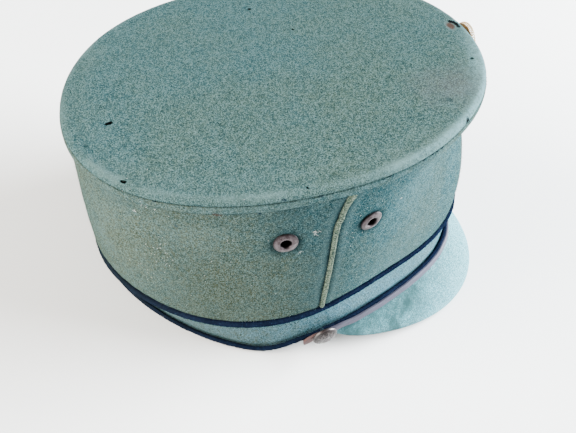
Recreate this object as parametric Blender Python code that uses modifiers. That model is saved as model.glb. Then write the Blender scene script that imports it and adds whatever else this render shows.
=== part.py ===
"""A stiff field kepi: an oval drum crown with a flat top, two navy cords round a
narrow band, a small cloth peak, a leather chin strap on two buttons, vent eyelets
and a round cockade. It rests on the back of its rim and on the tip of its peak.

Metres, +Z up, floor at z = 0. The peak points to -Y and the wearer's left is +X.
The drum is laid out upright, with z = 0 at the middle of the upper cord, and is then
tipped back until the rim and the peak stand on the floor.
"""
import math

import bmesh
import bpy
from mathutils import Matrix, Vector

MM = 0.001

# Fit between pieces
GAP = 0.3 * MM

# Crown
TOP_LENGTH = 200.4 * MM
TOP_WIDTH = 180 * MM
TOP_FORWARD = 3.2 * MM
WAIST_LENGTH = 207.8 * MM
WAIST_WIDTH = 171.8 * MM
WAIST_FORWARD = 0.7 * MM
CROWN_HEIGHT = 81.9 * MM
TOP_RISE = 3.64
CLOTH = 2.5 * MM
EDGE_ROLL = 2.6 * MM
EDGE_FOOT = 0.5 * MM
WALL_SWELL = 0.9 * MM
TOP_TUCK = 1.5 * MM
FRONT_TUCK = 3.7 * MM
TUCK_HEIGHT = 0.76
TUCK_TOP = 0.96
FRONT_TUCK_FULL = 40.0
FRONT_TUCK_END = 68.0

# Band and rim
RIM_LENGTH = 201.5 * MM
RIM_WIDTH = 170.1 * MM
RIM_FORWARD = 3.6 * MM
BAND_DROP = 29.4 * MM
BAND_CLOTH = 2.5 * MM
BACK_LEAN = 10.55
RIM_RISE = 25.8 * MM
RIM_CORNER = 95.5
RIM_CORNER_SOFTNESS = 0.10
RIM_RISE_POWER = 0.35

# Cords
WAIST_CORD = 2.6 * MM
RIM_CORD = 2.6 * MM
RIM_CORD_LIFT = 1.5 * MM
SEAM_CORD = 2.4 * MM
SEAM_TOP = 79.9
SEAM_BASE = 82.2

# Peak
PEAK_LENGTH = 35.6 * MM
PEAK_THICKNESS = 3.0 * MM
PEAK_SPREAD = 81.0
PEAK_END = 2.0 * MM
PEAK_FULLNESS = 0.69
PEAK_CROWNING = 1.6 * MM
PEAK_TUCK = 2.2 * MM
PEAK_SEAT = 3.1 * MM

# Chin strap and its buttons
STRAP_WIDTH = 4.2 * MM
STRAP_THICKNESS = 1.3 * MM
STRAP_REACH = 91.5
BUTTON_DIAMETER = 13.0 * MM
BUTTON_THICKNESS = 3.2 * MM
BUTTON_ANGLE = 85.0
BUTTON_RAISE = 2.5 * MM
BUTTON_STAND = 4.1 * MM
BUTTON_DROOP = 8.0

# Vent eyelets
EYELET_DIAMETER = 10.6 * MM
EYELET_BORE = 4.6 * MM
EYELET_METAL = 0.5 * MM
EYELET_DOME = 1.1 * MM

# Cockade
COCKADE_WIDTH = 24.0 * MM
COCKADE_HEIGHT = 28.0 * MM
COCKADE_THICKNESS = 3.6 * MM
COCKADE_RAISE = 3.6 * MM
COCKADE_ANGLE = 4.0

# Fineness
AROUND = 76
WALL_LEVELS = (0.0, 0.24, 0.46, 0.66, 0.83, TUCK_TOP, 1.0)
ROUND_SIDES = 16

# Shape of each oval: egg makes the front narrower, square fills its corners.
OVALS = {
    "top": dict(length=TOP_LENGTH, width=TOP_WIDTH, egg=0.006, square=-0.012, forward=TOP_FORWARD),
    "waist": dict(length=WAIST_LENGTH, width=WAIST_WIDTH, egg=0.050, square=0.026, forward=WAIST_FORWARD),
    "rim": dict(length=RIM_LENGTH, width=RIM_WIDTH, egg=0.030, square=0.026, forward=RIM_FORWARD),
}

# Soft places in the drum's wall: where, how wide, and how deep as a share of the cloth.
DENTS = [
    dict(angle=-150, height=0.42, spread=17, tall=0.34, depth=0.50),
    dict(angle=-118, height=0.74, spread=12, tall=0.22, depth=0.30),
    dict(angle=-107, height=0.22, spread=13, tall=0.20, depth=0.34),
    dict(angle=-88, height=0.50, spread=7, tall=0.30, depth=0.26),
    dict(angle=-52, height=0.35, spread=16, tall=0.30, depth=0.42),
    dict(angle=-44, height=0.22, spread=34, tall=0.18, depth=-0.28),
    dict(angle=-18, height=0.62, spread=12, tall=0.24, depth=0.28),
    dict(angle=34, height=0.40, spread=18, tall=0.30, depth=0.46),
    dict(angle=64, height=0.76, spread=11, tall=0.20, depth=0.26),
    dict(angle=112, height=0.45, spread=15, tall=0.34, depth=0.50),
    dict(angle=156, height=0.58, spread=18, tall=0.28, depth=0.44),
]

# Hollows and rises of the flat top: place and spread as shares of the top's half-sizes.
TOP_WAVES = [
    dict(side=-0.42, back=0.36, spread=0.30, height=-0.34),
    dict(side=-0.20, back=-0.48, spread=0.26, height=0.26),
    dict(side=0.40, back=-0.14, spread=0.34, height=-0.30),
    dict(side=0.26, back=0.58, spread=0.24, height=0.24),
    dict(side=-0.70, back=-0.16, spread=0.20, height=-0.18),
]

# The strap's middle line above the rim cord as a share of its width, and its outward lean.
STRAP_LINE = [
    dict(angle=0.0, rise=-0.70, lean=15.0),
    dict(angle=58.0, rise=-0.70, lean=15.0),
    dict(angle=70.0, rise=-0.46, lean=12.0),
    dict(angle=79.0, rise=-0.14, lean=3.0),
    dict(angle=86.0, rise=-0.02, lean=0.0),
    dict(angle=STRAP_REACH, rise=-0.12, lean=4.0),
]

EYELETS = [
    dict(name="rear", angle=96.1, height=0.696),
    dict(name="front", angle=70.8, height=0.669),
]

COLOURS = {
    "cloth": ((0.235, 0.310, 0.285), 0.95, 0.0),
    "band": ((0.245, 0.335, 0.320), 0.95, 0.0),
    "navy": ((0.020, 0.045, 0.110), 0.90, 0.0),
    "peak": ((0.330, 0.450, 0.440), 0.95, 0.0),
    "leather": ((0.260, 0.190, 0.185), 0.60, 0.0),
    "eyelet": ((0.300, 0.260, 0.270), 0.45, 1.0),
    "button": ((0.330, 0.300, 0.270), 0.40, 1.0),
    "cockade": ((0.620, 0.300, 0.090), 0.75, 0.0),
}


def material(name):
    colour, roughness, metallic = COLOURS[name]
    made = bpy.data.materials.new(name)
    made.use_nodes = True
    shader = made.node_tree.nodes["Principled BSDF"]
    shader.inputs["Base Color"].default_value = (*colour, 1.0)
    shader.inputs["Roughness"].default_value = roughness
    shader.inputs["Metallic"].default_value = metallic
    return made


def blend(a, b, share):
    return a + (b - a) * share


def heading(angle):
    """Level direction at an angle in degrees from the front towards the wearer's left."""
    turn = math.radians(angle)
    return Vector((math.sin(turn), -math.cos(turn), 0))


def oval_point(row, angle):
    """Point of an oval in plan; its full length and width are the row's own."""
    turn = math.radians(angle)
    mean = (row["length"] + row["width"]) / 4 / (1 + row["square"])
    stretch = (row["length"] - row["width"]) / (row["length"] + row["width"]) * (1 + row["square"])
    radius = mean * (
        1 + stretch * math.cos(2 * turn) + row["egg"] * math.cos(3 * turn) + row["square"] * math.cos(4 * turn)
    )
    return heading(angle) * radius + Vector((0, -row["forward"], 0))


def oval_outward(row, angle):
    step = 0.5
    along = oval_point(row, angle + step) - oval_point(row, angle - step)
    return Vector((along.y, -along.x, 0)).normalized()


def floor_height(point):
    """Height of the floor under a point, in the drum's upright frame."""
    return -BAND_DROP + math.tan(math.radians(BACK_LEAN)) * point.y


def rim_lift(angle):
    """How far the rim stands off the floor: nothing at the back, RIM_RISE in front."""
    corner = math.cos(math.radians(RIM_CORNER))
    reach = (math.cos(math.radians(angle)) - corner) / (1 - corner)
    soft = RIM_CORNER_SOFTNESS
    if reach <= -soft:
        return 0.0
    if reach < soft:
        reach = (reach + soft) ** 2 / (4 * soft)
    return RIM_RISE * reach**RIM_RISE_POWER


def rim_cord_point(angle, outward=0.0, up=0.0):
    """Point beside the middle of the rim cord, which lies against the band's foot."""
    row = OVALS["rim"]
    stand = RIM_CORD / 2 + GAP + outward
    point = oval_point(row, angle) + oval_outward(row, angle) * stand
    lift = RIM_CORD_LIFT / math.cos(math.radians(BACK_LEAN)) + up
    return point + Vector((0, 0, floor_height(point) + rim_lift(angle) + lift))


def dent_at(angle, share):
    depth = 0.0
    for dent in DENTS:
        off = (angle - dent["angle"] + 180) % 360 - 180
        reach = (off / dent["spread"]) ** 2 + ((share - dent["height"]) / dent["tall"]) ** 2
        depth += dent["depth"] * CLOTH * math.exp(-reach)
    return depth


def tuck_at(angle, share):
    """The wall draws in just below the top's edge, most of all in front."""
    side = math.cos(math.radians(FRONT_TUCK_END))
    front = (math.cos(math.radians(angle)) - side) / (math.cos(math.radians(FRONT_TUCK_FULL)) - side)
    front = min(max(front, 0), 1)
    front = front * front * (3 - 2 * front)
    middle = TUCK_HEIGHT / TUCK_TOP
    power = middle / (1 - middle)
    reach = min(max(share / TUCK_TOP, 0), 1)
    shape = reach**power * (1 - reach) / (middle**power * (1 - middle))
    return (TOP_TUCK + FRONT_TUCK * front) * shape


def seam_height(point):
    return CROWN_HEIGHT - math.tan(math.radians(TOP_RISE)) * point.y


def wall_point(angle, share):
    """Outer face of the drum: share 0 at the upper cord's middle, 1 at the top's seam."""
    base = oval_point(OVALS["waist"], angle)
    top = oval_point(OVALS["top"], angle)
    top = top + Vector((0, 0, seam_height(top)))
    swell = WALL_SWELL * math.sin(math.pi * min(max(share, 0), 1))
    swell -= dent_at(angle, share) + tuck_at(angle, share)
    return base.lerp(top, share) + oval_outward(OVALS["waist"], angle) * swell


def wall_outward(angle, share):
    step = 0.5
    along = wall_point(angle + step, share) - wall_point(angle - step, share)
    upward = wall_point(angle, share + 0.01) - wall_point(angle, share - 0.01)
    return along.cross(upward).normalized()


def seam_angle(share):
    return blend(SEAM_BASE, SEAM_TOP, share)


def tipped():
    """Turns the upright drum to its resting place, centred over the origin."""
    lean = Matrix.Rotation(math.radians(-BACK_LEAN), 4, "X")
    raised = lean @ Matrix.Translation((0, 0, BAND_DROP))
    front = (raised @ peak_point(0, 1.0)).y - PEAK_THICKNESS / 2
    back = (raised @ wall_point(180, 1.0)).y
    return Matrix.Translation((0, -(front + back) / 2, 0)) @ raised


def peak_drop():
    """Slope of the peak below level in the upright drum, with its tip on the floor."""
    root = rim_cord_point(0, outward=-PEAK_TUCK, up=-PEAK_SEAT)
    height = (root.z - floor_height(root)) * math.cos(math.radians(BACK_LEAN))
    steepest = math.asin(height / PEAK_LENGTH)
    tip = PEAK_THICKNESS / 2 * math.cos(steepest)
    return math.radians(BACK_LEAN) + math.asin((height - tip) / PEAK_LENGTH)


def peak_point(angle, share):
    """Middle of the peak's cloth: share 0 under the rim cord, 1 at its free edge."""
    root = rim_cord_point(angle, outward=-PEAK_TUCK, up=-PEAK_SEAT)
    drop = peak_drop()
    across = math.cos(math.pi / 2 * angle / PEAK_SPREAD)
    length = PEAK_END + (PEAK_LENGTH - PEAK_END) * max(across, 0) ** PEAK_FULLNESS
    out = oval_outward(OVALS["rim"], angle)
    along = out * math.cos(drop) + Vector((0, 0, -math.sin(drop)))
    proud = out * math.sin(drop) + Vector((0, 0, math.cos(drop)))
    crowning = PEAK_CROWNING * math.sin(math.pi * share) ** 1.5 * length / PEAK_LENGTH
    return root + along * length * share + proud * crowning


def strap_corner(angle, out, down):
    """Point of the strap's section: out from its inner face and down from its top edge."""
    place = abs(angle)
    for near, far in zip(STRAP_LINE, STRAP_LINE[1:]):
        if place <= far["angle"]:
            break
    share = min((place - near["angle"]) / (far["angle"] - near["angle"]), 1)
    eased = share * share * (3 - 2 * share)
    lean = math.radians(blend(near["lean"], far["lean"], eased))
    top = (blend(near["rise"], far["rise"], eased) + 0.5) * STRAP_WIDTH
    outward = RIM_CORD / 2 + GAP + out * math.cos(lean) + down * math.sin(lean)
    return rim_cord_point(angle, outward=outward, up=top + out * math.sin(lean) - down * math.cos(lean))


def new_object(name, mesh, finish, group):
    made = bpy.data.objects.new(name, mesh)
    group.objects.link(made)
    mesh.materials.clear()
    mesh.materials.append(finish)
    made.matrix_world = tipped()
    return made


def mesh_from(name, build):
    shape = bmesh.new()
    build(shape)
    if all(edge.is_manifold for edge in shape.edges):
        bmesh.ops.recalc_face_normals(shape, faces=shape.faces)
    mesh = bpy.data.meshes.new(name)
    shape.to_mesh(mesh)
    shape.free()
    mesh.shade_smooth()
    mesh.set_sharp_from_angle(angle=math.radians(40))
    return mesh


def bridge(shape, near, far, closed):
    """Joins two rows of points with faces, which look outward where the far row is the upper."""
    count = len(near)
    last = count if closed else count - 1
    for i in range(last):
        j = (i + 1) % count
        shape.faces.new((near[i], near[j], far[j], far[i]))


def grid(shape, rows, closed):
    placed = [[shape.verts.new(point) for point in row] for row in rows]
    for near, far in zip(placed, placed[1:]):
        bridge(shape, near, far, closed)
    return placed


def thicken(made, thickness, offset):
    layer = made.modifiers.new("cloth", "SOLIDIFY")
    layer.thickness = thickness
    layer.offset = offset
    layer.use_even_offset = True


def facing(place, outward):
    """Frame at a point of the drum with its Z along the surface's outward direction."""
    turned = outward.to_track_quat("Z", "Y").to_matrix().to_4x4()
    return tipped() @ Matrix.Translation(place) @ turned


def panel(name, start, finish_at, columns, finish, group):
    """A stretch of the drum's wall between two side seams, which keeps clear of their cords."""
    lowest = (WAIST_CORD / 2 + GAP) / CROWN_HEIGHT
    highest = 1 - 2 * GAP / CROWN_HEIGHT
    clear = SEAM_CORD / 2 + GAP
    rows = []
    for level in WALL_LEVELS:
        share = blend(lowest, highest, level)
        first = start(share)
        last = finish_at(share)
        first += math.degrees(clear / oval_point(OVALS["waist"], first).length)
        last -= math.degrees(clear / oval_point(OVALS["waist"], last).length)
        rows.append([wall_point(blend(first, last, j / columns), share) for j in range(columns + 1)])
    made = new_object(name, mesh_from(name, lambda shape: grid(shape, rows, False)), finish, group)
    thicken(made, CLOTH, -1)
    return made


def front_panel(finish, group):
    return panel("front_panel", lambda s: -seam_angle(s), seam_angle, 36, finish, group)


def rear_panel(finish, group):
    return panel("rear_panel", seam_angle, lambda s: 360 - seam_angle(s), 44, finish, group)


def crown_top(finish, group):
    """The flat top with its edge rolled down to the seam."""

    def ring(inset, height, wave):
        points = []
        for i in range(AROUND):
            angle = 360 * i / AROUND
            edge = wall_point(angle, 1.0)
            centre = Vector((0, -TOP_FORWARD, 0))
            level = Vector((edge.x, edge.y, 0)) - centre
            spot = centre + level * (1 - inset / level.length)
            lift = top_wave(spot) * wave
            points.append(Vector((spot.x, spot.y, seam_height(spot) + height + lift)))
        return points

    def build(shape):
        rows = [ring(0, 0, 0)]
        for turn in (0, 30, 60, 90):
            bend = math.radians(turn)
            rows.append(ring(EDGE_ROLL * (1 - math.cos(bend)), EDGE_FOOT + EDGE_ROLL * math.sin(bend), 0))
        for inset in (0.16, 0.42, 0.72):
            rows.append(ring(inset * TOP_WIDTH / 2, EDGE_FOOT + EDGE_ROLL, 1))
        placed = grid(shape, rows, True)
        middle = Vector((0, -TOP_FORWARD, 0))
        middle.z = seam_height(middle) + EDGE_FOOT + EDGE_ROLL + top_wave(middle)
        centre = shape.verts.new(middle)
        inner = placed[-1]
        for i in range(AROUND):
            shape.faces.new((inner[i], inner[(i + 1) % AROUND], centre))

    made = new_object("crown_top", mesh_from("crown_top", build), finish, group)
    thicken(made, CLOTH, -1)
    return made


def top_wave(point):
    height = 0.0
    for wave in TOP_WAVES:
        side = point.x / (TOP_WIDTH / 2) - wave["side"]
        back = point.y / (TOP_LENGTH / 2) - wave["back"]
        height += wave["height"] * CLOTH * math.exp(-(side * side + back * back) / wave["spread"] ** 2)
    return height


def band(finish, group):
    """The strip between the cords; its foot is flat on the floor at the back."""
    upright = RIM_CORD_LIFT + RIM_CORD / 2 + GAP

    def skin(inset):
        rows = []
        for share, climb in ((0.0, 0.0), (0.5, 0.0), (1.0, upright), (1.0, 0.0)):
            points = []
            for i in range(AROUND):
                angle = 360 * i / AROUND
                high = oval_point(OVALS["waist"], angle) - oval_outward(OVALS["waist"], angle) * inset
                high.z = -(WAIST_CORD / 2 + GAP)
                low = oval_point(OVALS["rim"], angle) - oval_outward(OVALS["rim"], angle) * inset
                low.z = floor_height(low) + rim_lift(angle)
                turn = Vector((low.x, low.y, low.z + upright))
                points.append(high.lerp(turn, share) if share < 1 else low + Vector((0, 0, climb)))
            rows.append(points)
        return rows

    def build(shape):
        outer = grid(shape, skin(0), True)
        inner = grid(shape, skin(BAND_CLOTH), True)
        bridge(shape, outer[0], inner[0], True)
        bridge(shape, outer[-1], inner[-1], True)

    return new_object("band", mesh_from("band", build), finish, group)


def cord(name, points, diameter, closed, finish, group):
    """A round cord along a line of points, made a mesh so that it is one closed body."""
    line = bpy.data.curves.new(name, "CURVE")
    line.dimensions = "3D"
    line.bevel_depth = diameter / 2
    line.bevel_resolution = 1
    line.use_fill_caps = not closed
    spline = line.splines.new("POLY")
    spline.points.add(len(points) - 1)
    for spot, point in zip(spline.points, points):
        spot.co = (*point, 1)
    spline.use_cyclic_u = closed
    drawn = bpy.data.objects.new(name + "_line", line)
    group.objects.link(drawn)
    bpy.context.view_layer.update()
    seen = drawn.evaluated_get(bpy.context.evaluated_depsgraph_get())
    mesh = bpy.data.meshes.new_from_object(seen)
    bpy.data.objects.remove(drawn)
    shape = bmesh.new()
    shape.from_mesh(mesh)
    bmesh.ops.remove_doubles(shape, verts=shape.verts, dist=1e-6)
    bmesh.ops.recalc_face_normals(shape, faces=shape.faces)
    shape.to_mesh(mesh)
    shape.free()
    mesh.shade_smooth()
    return new_object(name, mesh, finish, group)


def upper_piping(finish, group):
    points = [oval_point(OVALS["waist"], 360 * i / AROUND) for i in range(AROUND)]
    return cord("upper_piping", points, WAIST_CORD, True, finish, group)


def lower_piping(finish, group):
    points = [rim_cord_point(360 * i / AROUND) for i in range(AROUND)]
    return cord("lower_piping", points, RIM_CORD, True, finish, group)


def side_piping(name, side, finish, group):
    lowest = (WAIST_CORD / 2 + SEAM_CORD / 2 + GAP) / CROWN_HEIGHT
    highest = 1 - 3 * GAP / CROWN_HEIGHT
    steps = 10
    points = []
    for i in range(steps + 1):
        share = blend(lowest, highest, i / steps)
        points.append(wall_point(side * seam_angle(share), share))
    return cord(name, points, SEAM_CORD, False, finish, group)


def peak(finish, group):
    across = 36
    deep = 6
    rows = []
    angles = [blend(-PEAK_SPREAD, PEAK_SPREAD, j / across) for j in range(across + 1)]
    for i in range(deep + 1):
        rows.append([peak_point(angle, i / deep) for angle in angles])
    made = new_object("peak", mesh_from("peak", lambda shape: grid(shape, rows, False)), finish, group)
    thicken(made, PEAK_THICKNESS, 0)
    return made


def chin_strap(finish, group):
    """A narrow leather strip along the foot of the band, from button to button over the peak."""
    steps = 44

    def build(shape):
        sections = []
        for i in range(steps + 1):
            angle = blend(-STRAP_REACH, STRAP_REACH, i / steps)
            taper = STRAP_WIDTH * 0.2 if i in (0, steps) else 0
            top = strap_corner(angle, 0, taper)
            foot = strap_corner(angle, 0, STRAP_WIDTH - taper)
            outside = strap_corner(angle, STRAP_THICKNESS, taper) - top
            section = (top, top + outside, foot + outside, foot)
            sections.append([shape.verts.new(point) for point in section])
        for near, far in zip(sections, sections[1:]):
            bridge(shape, near, far, True)
        shape.faces.new(sections[0])
        shape.faces.new(sections[-1])

    return new_object("chin_strap", mesh_from("chin_strap", build), finish, group)


def turned(name, profile, sides, closed, finish, group, place):
    """A turned piece: its profile lies at +X and runs down the outer side."""
    mesh = bpy.data.meshes.new(name)
    count = len(profile)
    edges = [(i, i + 1) for i in range(count - 1)]
    if closed:
        edges.append((count - 1, 0))
    mesh.from_pydata([(radius, 0, height) for radius, height in profile], edges, [])
    made = new_object(name, mesh, finish, group)
    made.matrix_world = place
    spin = made.modifiers.new("turn", "SCREW")
    spin.steps = sides
    spin.render_steps = sides
    spin.use_merge_vertices = True
    spin.merge_threshold = 0.000001
    spin.use_normal_calculate = False
    spin.use_smooth_shade = True
    return made


def vent_eyelet(name, angle, height, finish, group):
    """A rolled metal ring clinched through the wall."""
    bore = EYELET_BORE / 2
    barrel = bore + EYELET_METAL
    flange = EYELET_DIAMETER / 2
    back = -(CLOTH + GAP)
    clinch = blend(barrel, flange, 0.6)
    profile = [
        (blend(bore, flange, 0.35), EYELET_DOME),
        (blend(bore, flange, 0.75), EYELET_DOME * 0.86),
        (flange, GAP + EYELET_METAL / 2),
        (flange - EYELET_METAL / 2, GAP),
        (barrel, GAP),
        (barrel, back),
        (clinch, back),
        (clinch, back - EYELET_METAL),
        (bore, back - EYELET_METAL),
        (bore, EYELET_DOME * 0.7),
    ]
    place = facing(wall_point(angle, height), wall_outward(angle, height))
    return turned(name, profile, ROUND_SIDES, True, finish, group, place)


def eyelet_hole(angle, height, group):
    hole = EYELET_BORE / 2 + EYELET_METAL + GAP
    bpy.ops.mesh.primitive_cylinder_add(vertices=ROUND_SIDES, radius=hole, depth=CLOTH * 6)
    made = bpy.context.active_object
    made.name = "eyelet_hole"
    for owner in list(made.users_collection):
        owner.objects.unlink(made)
    group.objects.link(made)
    made.matrix_world = facing(wall_point(angle, height), wall_outward(angle, height))
    made.display_type = "WIRE"
    made.hide_render = True
    return made


def pierce(made, cutter):
    cut = made.modifiers.new("hole", "BOOLEAN")
    cut.operation = "DIFFERENCE"
    cut.solver = "EXACT"
    cut.object = cutter


def strap_button(name, side, finish, group):
    """A domed button over the strap's end, which droops a little on its thread."""
    radius = BUTTON_DIAMETER / 2
    tall = BUTTON_THICKNESS
    profile = [
        (0, tall),
        (radius * 0.34, tall * 0.96),
        (radius * 0.66, tall * 0.80),
        (radius * 0.88, tall * 0.54),
        (radius, tall * 0.30),
        (radius, tall * 0.12),
        (radius * 0.94, 0),
        (0, 0),
    ]
    angle = side * BUTTON_ANGLE
    droop = math.radians(BUTTON_DROOP)
    outward = oval_outward(OVALS["rim"], angle) * math.cos(droop) - Vector((0, 0, math.sin(droop)))
    place = facing(rim_cord_point(angle, outward=BUTTON_STAND, up=BUTTON_RAISE), outward)
    return turned(name, profile, ROUND_SIDES, False, finish, group, place)


def cockade(finish, group):
    """A round rosette on the front, its upper edge just above the crown."""
    half = COCKADE_WIDTH / 2
    tall = COCKADE_THICKNESS
    profile = [
        (0, tall * 0.92),
        (half * 0.22, tall * 0.86),
        (half * 0.28, tall * 0.50),
        (half * 0.55, tall * 0.66),
        (half * 0.80, tall * 0.52),
        (half * 0.84, tall * 0.80),
        (half * 0.94, tall),
        (half, tall * 0.70),
        (half, tall * 0.14),
        (half * 0.96, 0),
        (0, 0),
    ]
    share = 1 - (COCKADE_HEIGHT / 2 - COCKADE_RAISE) / CROWN_HEIGHT
    lowest = 1 - COCKADE_HEIGHT / CROWN_HEIGHT
    spot = wall_point(COCKADE_ANGLE, share)
    outward = wall_outward(COCKADE_ANGLE, blend(lowest, 1, 0.5))
    steps = [blend(lowest, 1, i / 8) for i in range(9)]
    proudest = max((wall_point(COCKADE_ANGLE, step) - spot).dot(outward) for step in steps)
    place = facing(spot + outward * (proudest + GAP), outward)
    oval = Matrix.Diagonal((1, COCKADE_HEIGHT / COCKADE_WIDTH, 1, 1))
    made = turned("cockade", profile, 28, False, finish, group, place)
    made.matrix_world = place @ oval
    return made


def main():
    for old in list(bpy.data.objects):
        bpy.data.objects.remove(old)
    kepi = bpy.data.collections.new("kepi")
    cutters = bpy.data.collections.new("cutters")
    bpy.context.scene.collection.children.link(kepi)
    bpy.context.scene.collection.children.link(cutters)
    finishes = {name: material(name) for name in COLOURS}

    front = front_panel(finishes["cloth"], kepi)
    rear = rear_panel(finishes["cloth"], kepi)
    crown_top(finishes["cloth"], kepi)
    band(finishes["band"], kepi)
    upper_piping(finishes["navy"], kepi)
    lower_piping(finishes["navy"], kepi)
    peak(finishes["peak"], kepi)
    chin_strap(finishes["leather"], kepi)
    cockade(finishes["cockade"], kepi)
    for side, word in ((-1, "right"), (1, "left")):
        side_piping("side_piping_" + word, side, finishes["cloth"], kepi)
        strap_button("strap_button_" + word, side, finishes["button"], kepi)
        for row in EYELETS:
            angle = side * row["angle"]
            name = f"vent_eyelet_{word}_{row['name']}"
            vent_eyelet(name, angle, row["height"], finishes["eyelet"], kepi)
            wall = front if row["angle"] < SEAM_TOP else rear
            pierce(wall, eyelet_hole(angle, row["height"], cutters))


main()
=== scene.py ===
"""Looks of a worn wool kepi: felted cloth with seams and moth holes, navy cords,
a leather strap with its buttons, tarnished eyelets and a thread cockade.

Lengths are in metres in the frame's own axes: the peak points to -Y, the wearer's
left is +X. The drum's shape is laid out upright and tipped back with place().
"""

import math
import random
from types import SimpleNamespace

import bmesh
import bpy
import numpy as np
from mathutils import Matrix, Vector, noise
from mathutils.bvhtree import BVHTree


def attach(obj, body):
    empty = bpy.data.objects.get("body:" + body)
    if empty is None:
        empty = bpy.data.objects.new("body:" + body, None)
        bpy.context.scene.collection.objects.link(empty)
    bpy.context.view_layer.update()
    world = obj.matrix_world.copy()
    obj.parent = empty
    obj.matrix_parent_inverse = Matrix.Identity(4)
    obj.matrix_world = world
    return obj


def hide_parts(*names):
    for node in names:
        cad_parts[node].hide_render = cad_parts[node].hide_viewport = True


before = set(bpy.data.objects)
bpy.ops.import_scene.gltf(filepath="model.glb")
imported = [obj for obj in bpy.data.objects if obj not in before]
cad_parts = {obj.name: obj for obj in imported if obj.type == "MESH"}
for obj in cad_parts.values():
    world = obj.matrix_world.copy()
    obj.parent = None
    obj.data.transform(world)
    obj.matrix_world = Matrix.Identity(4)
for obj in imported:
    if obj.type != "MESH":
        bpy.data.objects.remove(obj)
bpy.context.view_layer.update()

MM = 0.001

# Keeps a point's x and y and drops its height.
LEVEL = np.array([1, 1, 0])


def table(columns, *rows):
    """Rows as dictionaries, with their columns named once."""
    return [dict(zip(columns.split(), row)) for row in rows]


# Shape of the drum, as in the frame
GAP = 0.3 * MM
TOP = dict(length=200.4 * MM, width=180 * MM, egg=0.006, square=-0.012, forward=3.2 * MM)
WAIST = dict(length=207.8 * MM, width=171.8 * MM, egg=0.050, square=0.026, forward=0.7 * MM)
RIM = dict(length=201.5 * MM, width=170.1 * MM, egg=0.030, square=0.026, forward=3.6 * MM)
CROWN_HEIGHT = 81.9 * MM
TOP_RISE = math.radians(3.64)
CLOTH = 2.5 * MM
EDGE_ROLL = 2.6 * MM
EDGE_FOOT = 0.5 * MM
WALL_SWELL = 0.9 * MM
TOP_TUCK = 1.5 * MM
FRONT_TUCK = 3.7 * MM
TUCK_HEIGHT = 0.76
TUCK_TOP = 0.96
FRONT_TUCK_FULL = 40.0
FRONT_TUCK_END = 68.0
BAND_DROP = 29.4 * MM
BACK_LEAN = math.radians(10.55)
RIM_RISE = 25.8 * MM
RIM_CORNER = 95.5
RIM_CORNER_SOFTNESS = 0.10
RIM_RISE_POWER = 0.35
CORD = 2.6 * MM
CORD_LIFT = 1.5 * MM
SEAM_CORD = 2.4 * MM
SEAM_TOP = 79.9
SEAM_BASE = 82.2
PEAK_LENGTH = 35.6 * MM
PEAK_THICKNESS = 3.0 * MM
PEAK_SPREAD = 81.0
PEAK_END = 2.0 * MM
PEAK_FULLNESS = 0.69
PEAK_CROWNING = 1.6 * MM
PEAK_TUCK = 2.2 * MM
PEAK_SEAT = 3.1 * MM
STRAP_WIDTH = 4.2 * MM
STRAP_THICKNESS = 1.3 * MM
STRAP_REACH = 91.5
BUTTON_DIAMETER = 13.0 * MM
BUTTON_THICKNESS = 3.2 * MM
BUTTON_ANGLE = 85.0
BUTTON_RAISE = 2.5 * MM
BUTTON_STAND = 4.1 * MM
BUTTON_DROOP = 8.0
EYELET_DIAMETER = 10.6 * MM
EYELET_BORE = 4.6 * MM
EYELET_METAL = 0.5 * MM
EYELET_DOME = 1.1 * MM
COCKADE_WIDTH = 24.0 * MM
COCKADE_HEIGHT = 28.0 * MM
COCKADE_THICKNESS = 3.6 * MM
COCKADE_RAISE = 3.6 * MM
COCKADE_ANGLE = 4.0

DENTS = table(
    "angle height spread tall depth",
    (-150, 0.42, 17, 0.34, 0.50),
    (-118, 0.74, 12, 0.22, 0.30),
    (-107, 0.22, 13, 0.20, 0.34),
    (-88, 0.50, 7, 0.30, 0.26),
    (-52, 0.35, 16, 0.30, 0.42),
    (-44, 0.22, 34, 0.18, -0.28),
    (-18, 0.62, 12, 0.24, 0.28),
    (34, 0.40, 18, 0.30, 0.46),
    (64, 0.76, 11, 0.20, 0.26),
    (112, 0.45, 15, 0.34, 0.50),
    (156, 0.58, 18, 0.28, 0.44),
)
TOP_WAVES = table(
    "side back spread height",
    (-0.42, 0.36, 0.30, -0.34),
    (-0.20, -0.48, 0.26, 0.26),
    (0.40, -0.14, 0.34, -0.30),
    (0.26, 0.58, 0.24, 0.24),
    (-0.70, -0.16, 0.20, -0.18),
)
STRAP_LINE = table(
    "angle rise lean",
    (0.0, -0.70, 15.0),
    (58.0, -0.70, 15.0),
    (70.0, -0.46, 12.0),
    (79.0, -0.14, 3.0),
    (86.0, -0.02, 0.0),
    (STRAP_REACH, -0.12, 4.0),
)
EYELETS = [
    dict(name="rear", angle=96.1, height=0.696),
    dict(name="front", angle=70.8, height=0.669),
]

# Wear on the top, in millimetres: place, length, width and turn of each moth hole.
MOTH_HOLES = table(
    "x y length width turn",
    (-24.9, 101.5, 3.8, 2.3, 105),
    (-65.6, 95.2, 3.3, 1.7, 45),
    (59.0, 28.0, 2.3, 1.9, 60),
    (31.0, 10.2, 2.0, 1.3, 35),
    (-21.9, -61.7, 1.8, 1.0, 70),
    (-87.2, 29.2, 1.5, 0.9, 10),
)

# Where the wall sags, in degrees round the drum, and how far in.
SLACK = dict(angle=-43.0, spread=17.0, depth=1.5 * MM)

# Middle and half-width, in degrees, of the stretch where the seam's thread shows.
STITCHED = -46.0
STITCHED_SPREAD = 27.0
STITCH_STEP = 2.9 * MM
THREAD_RADIUS = 0.20 * MM

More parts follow.
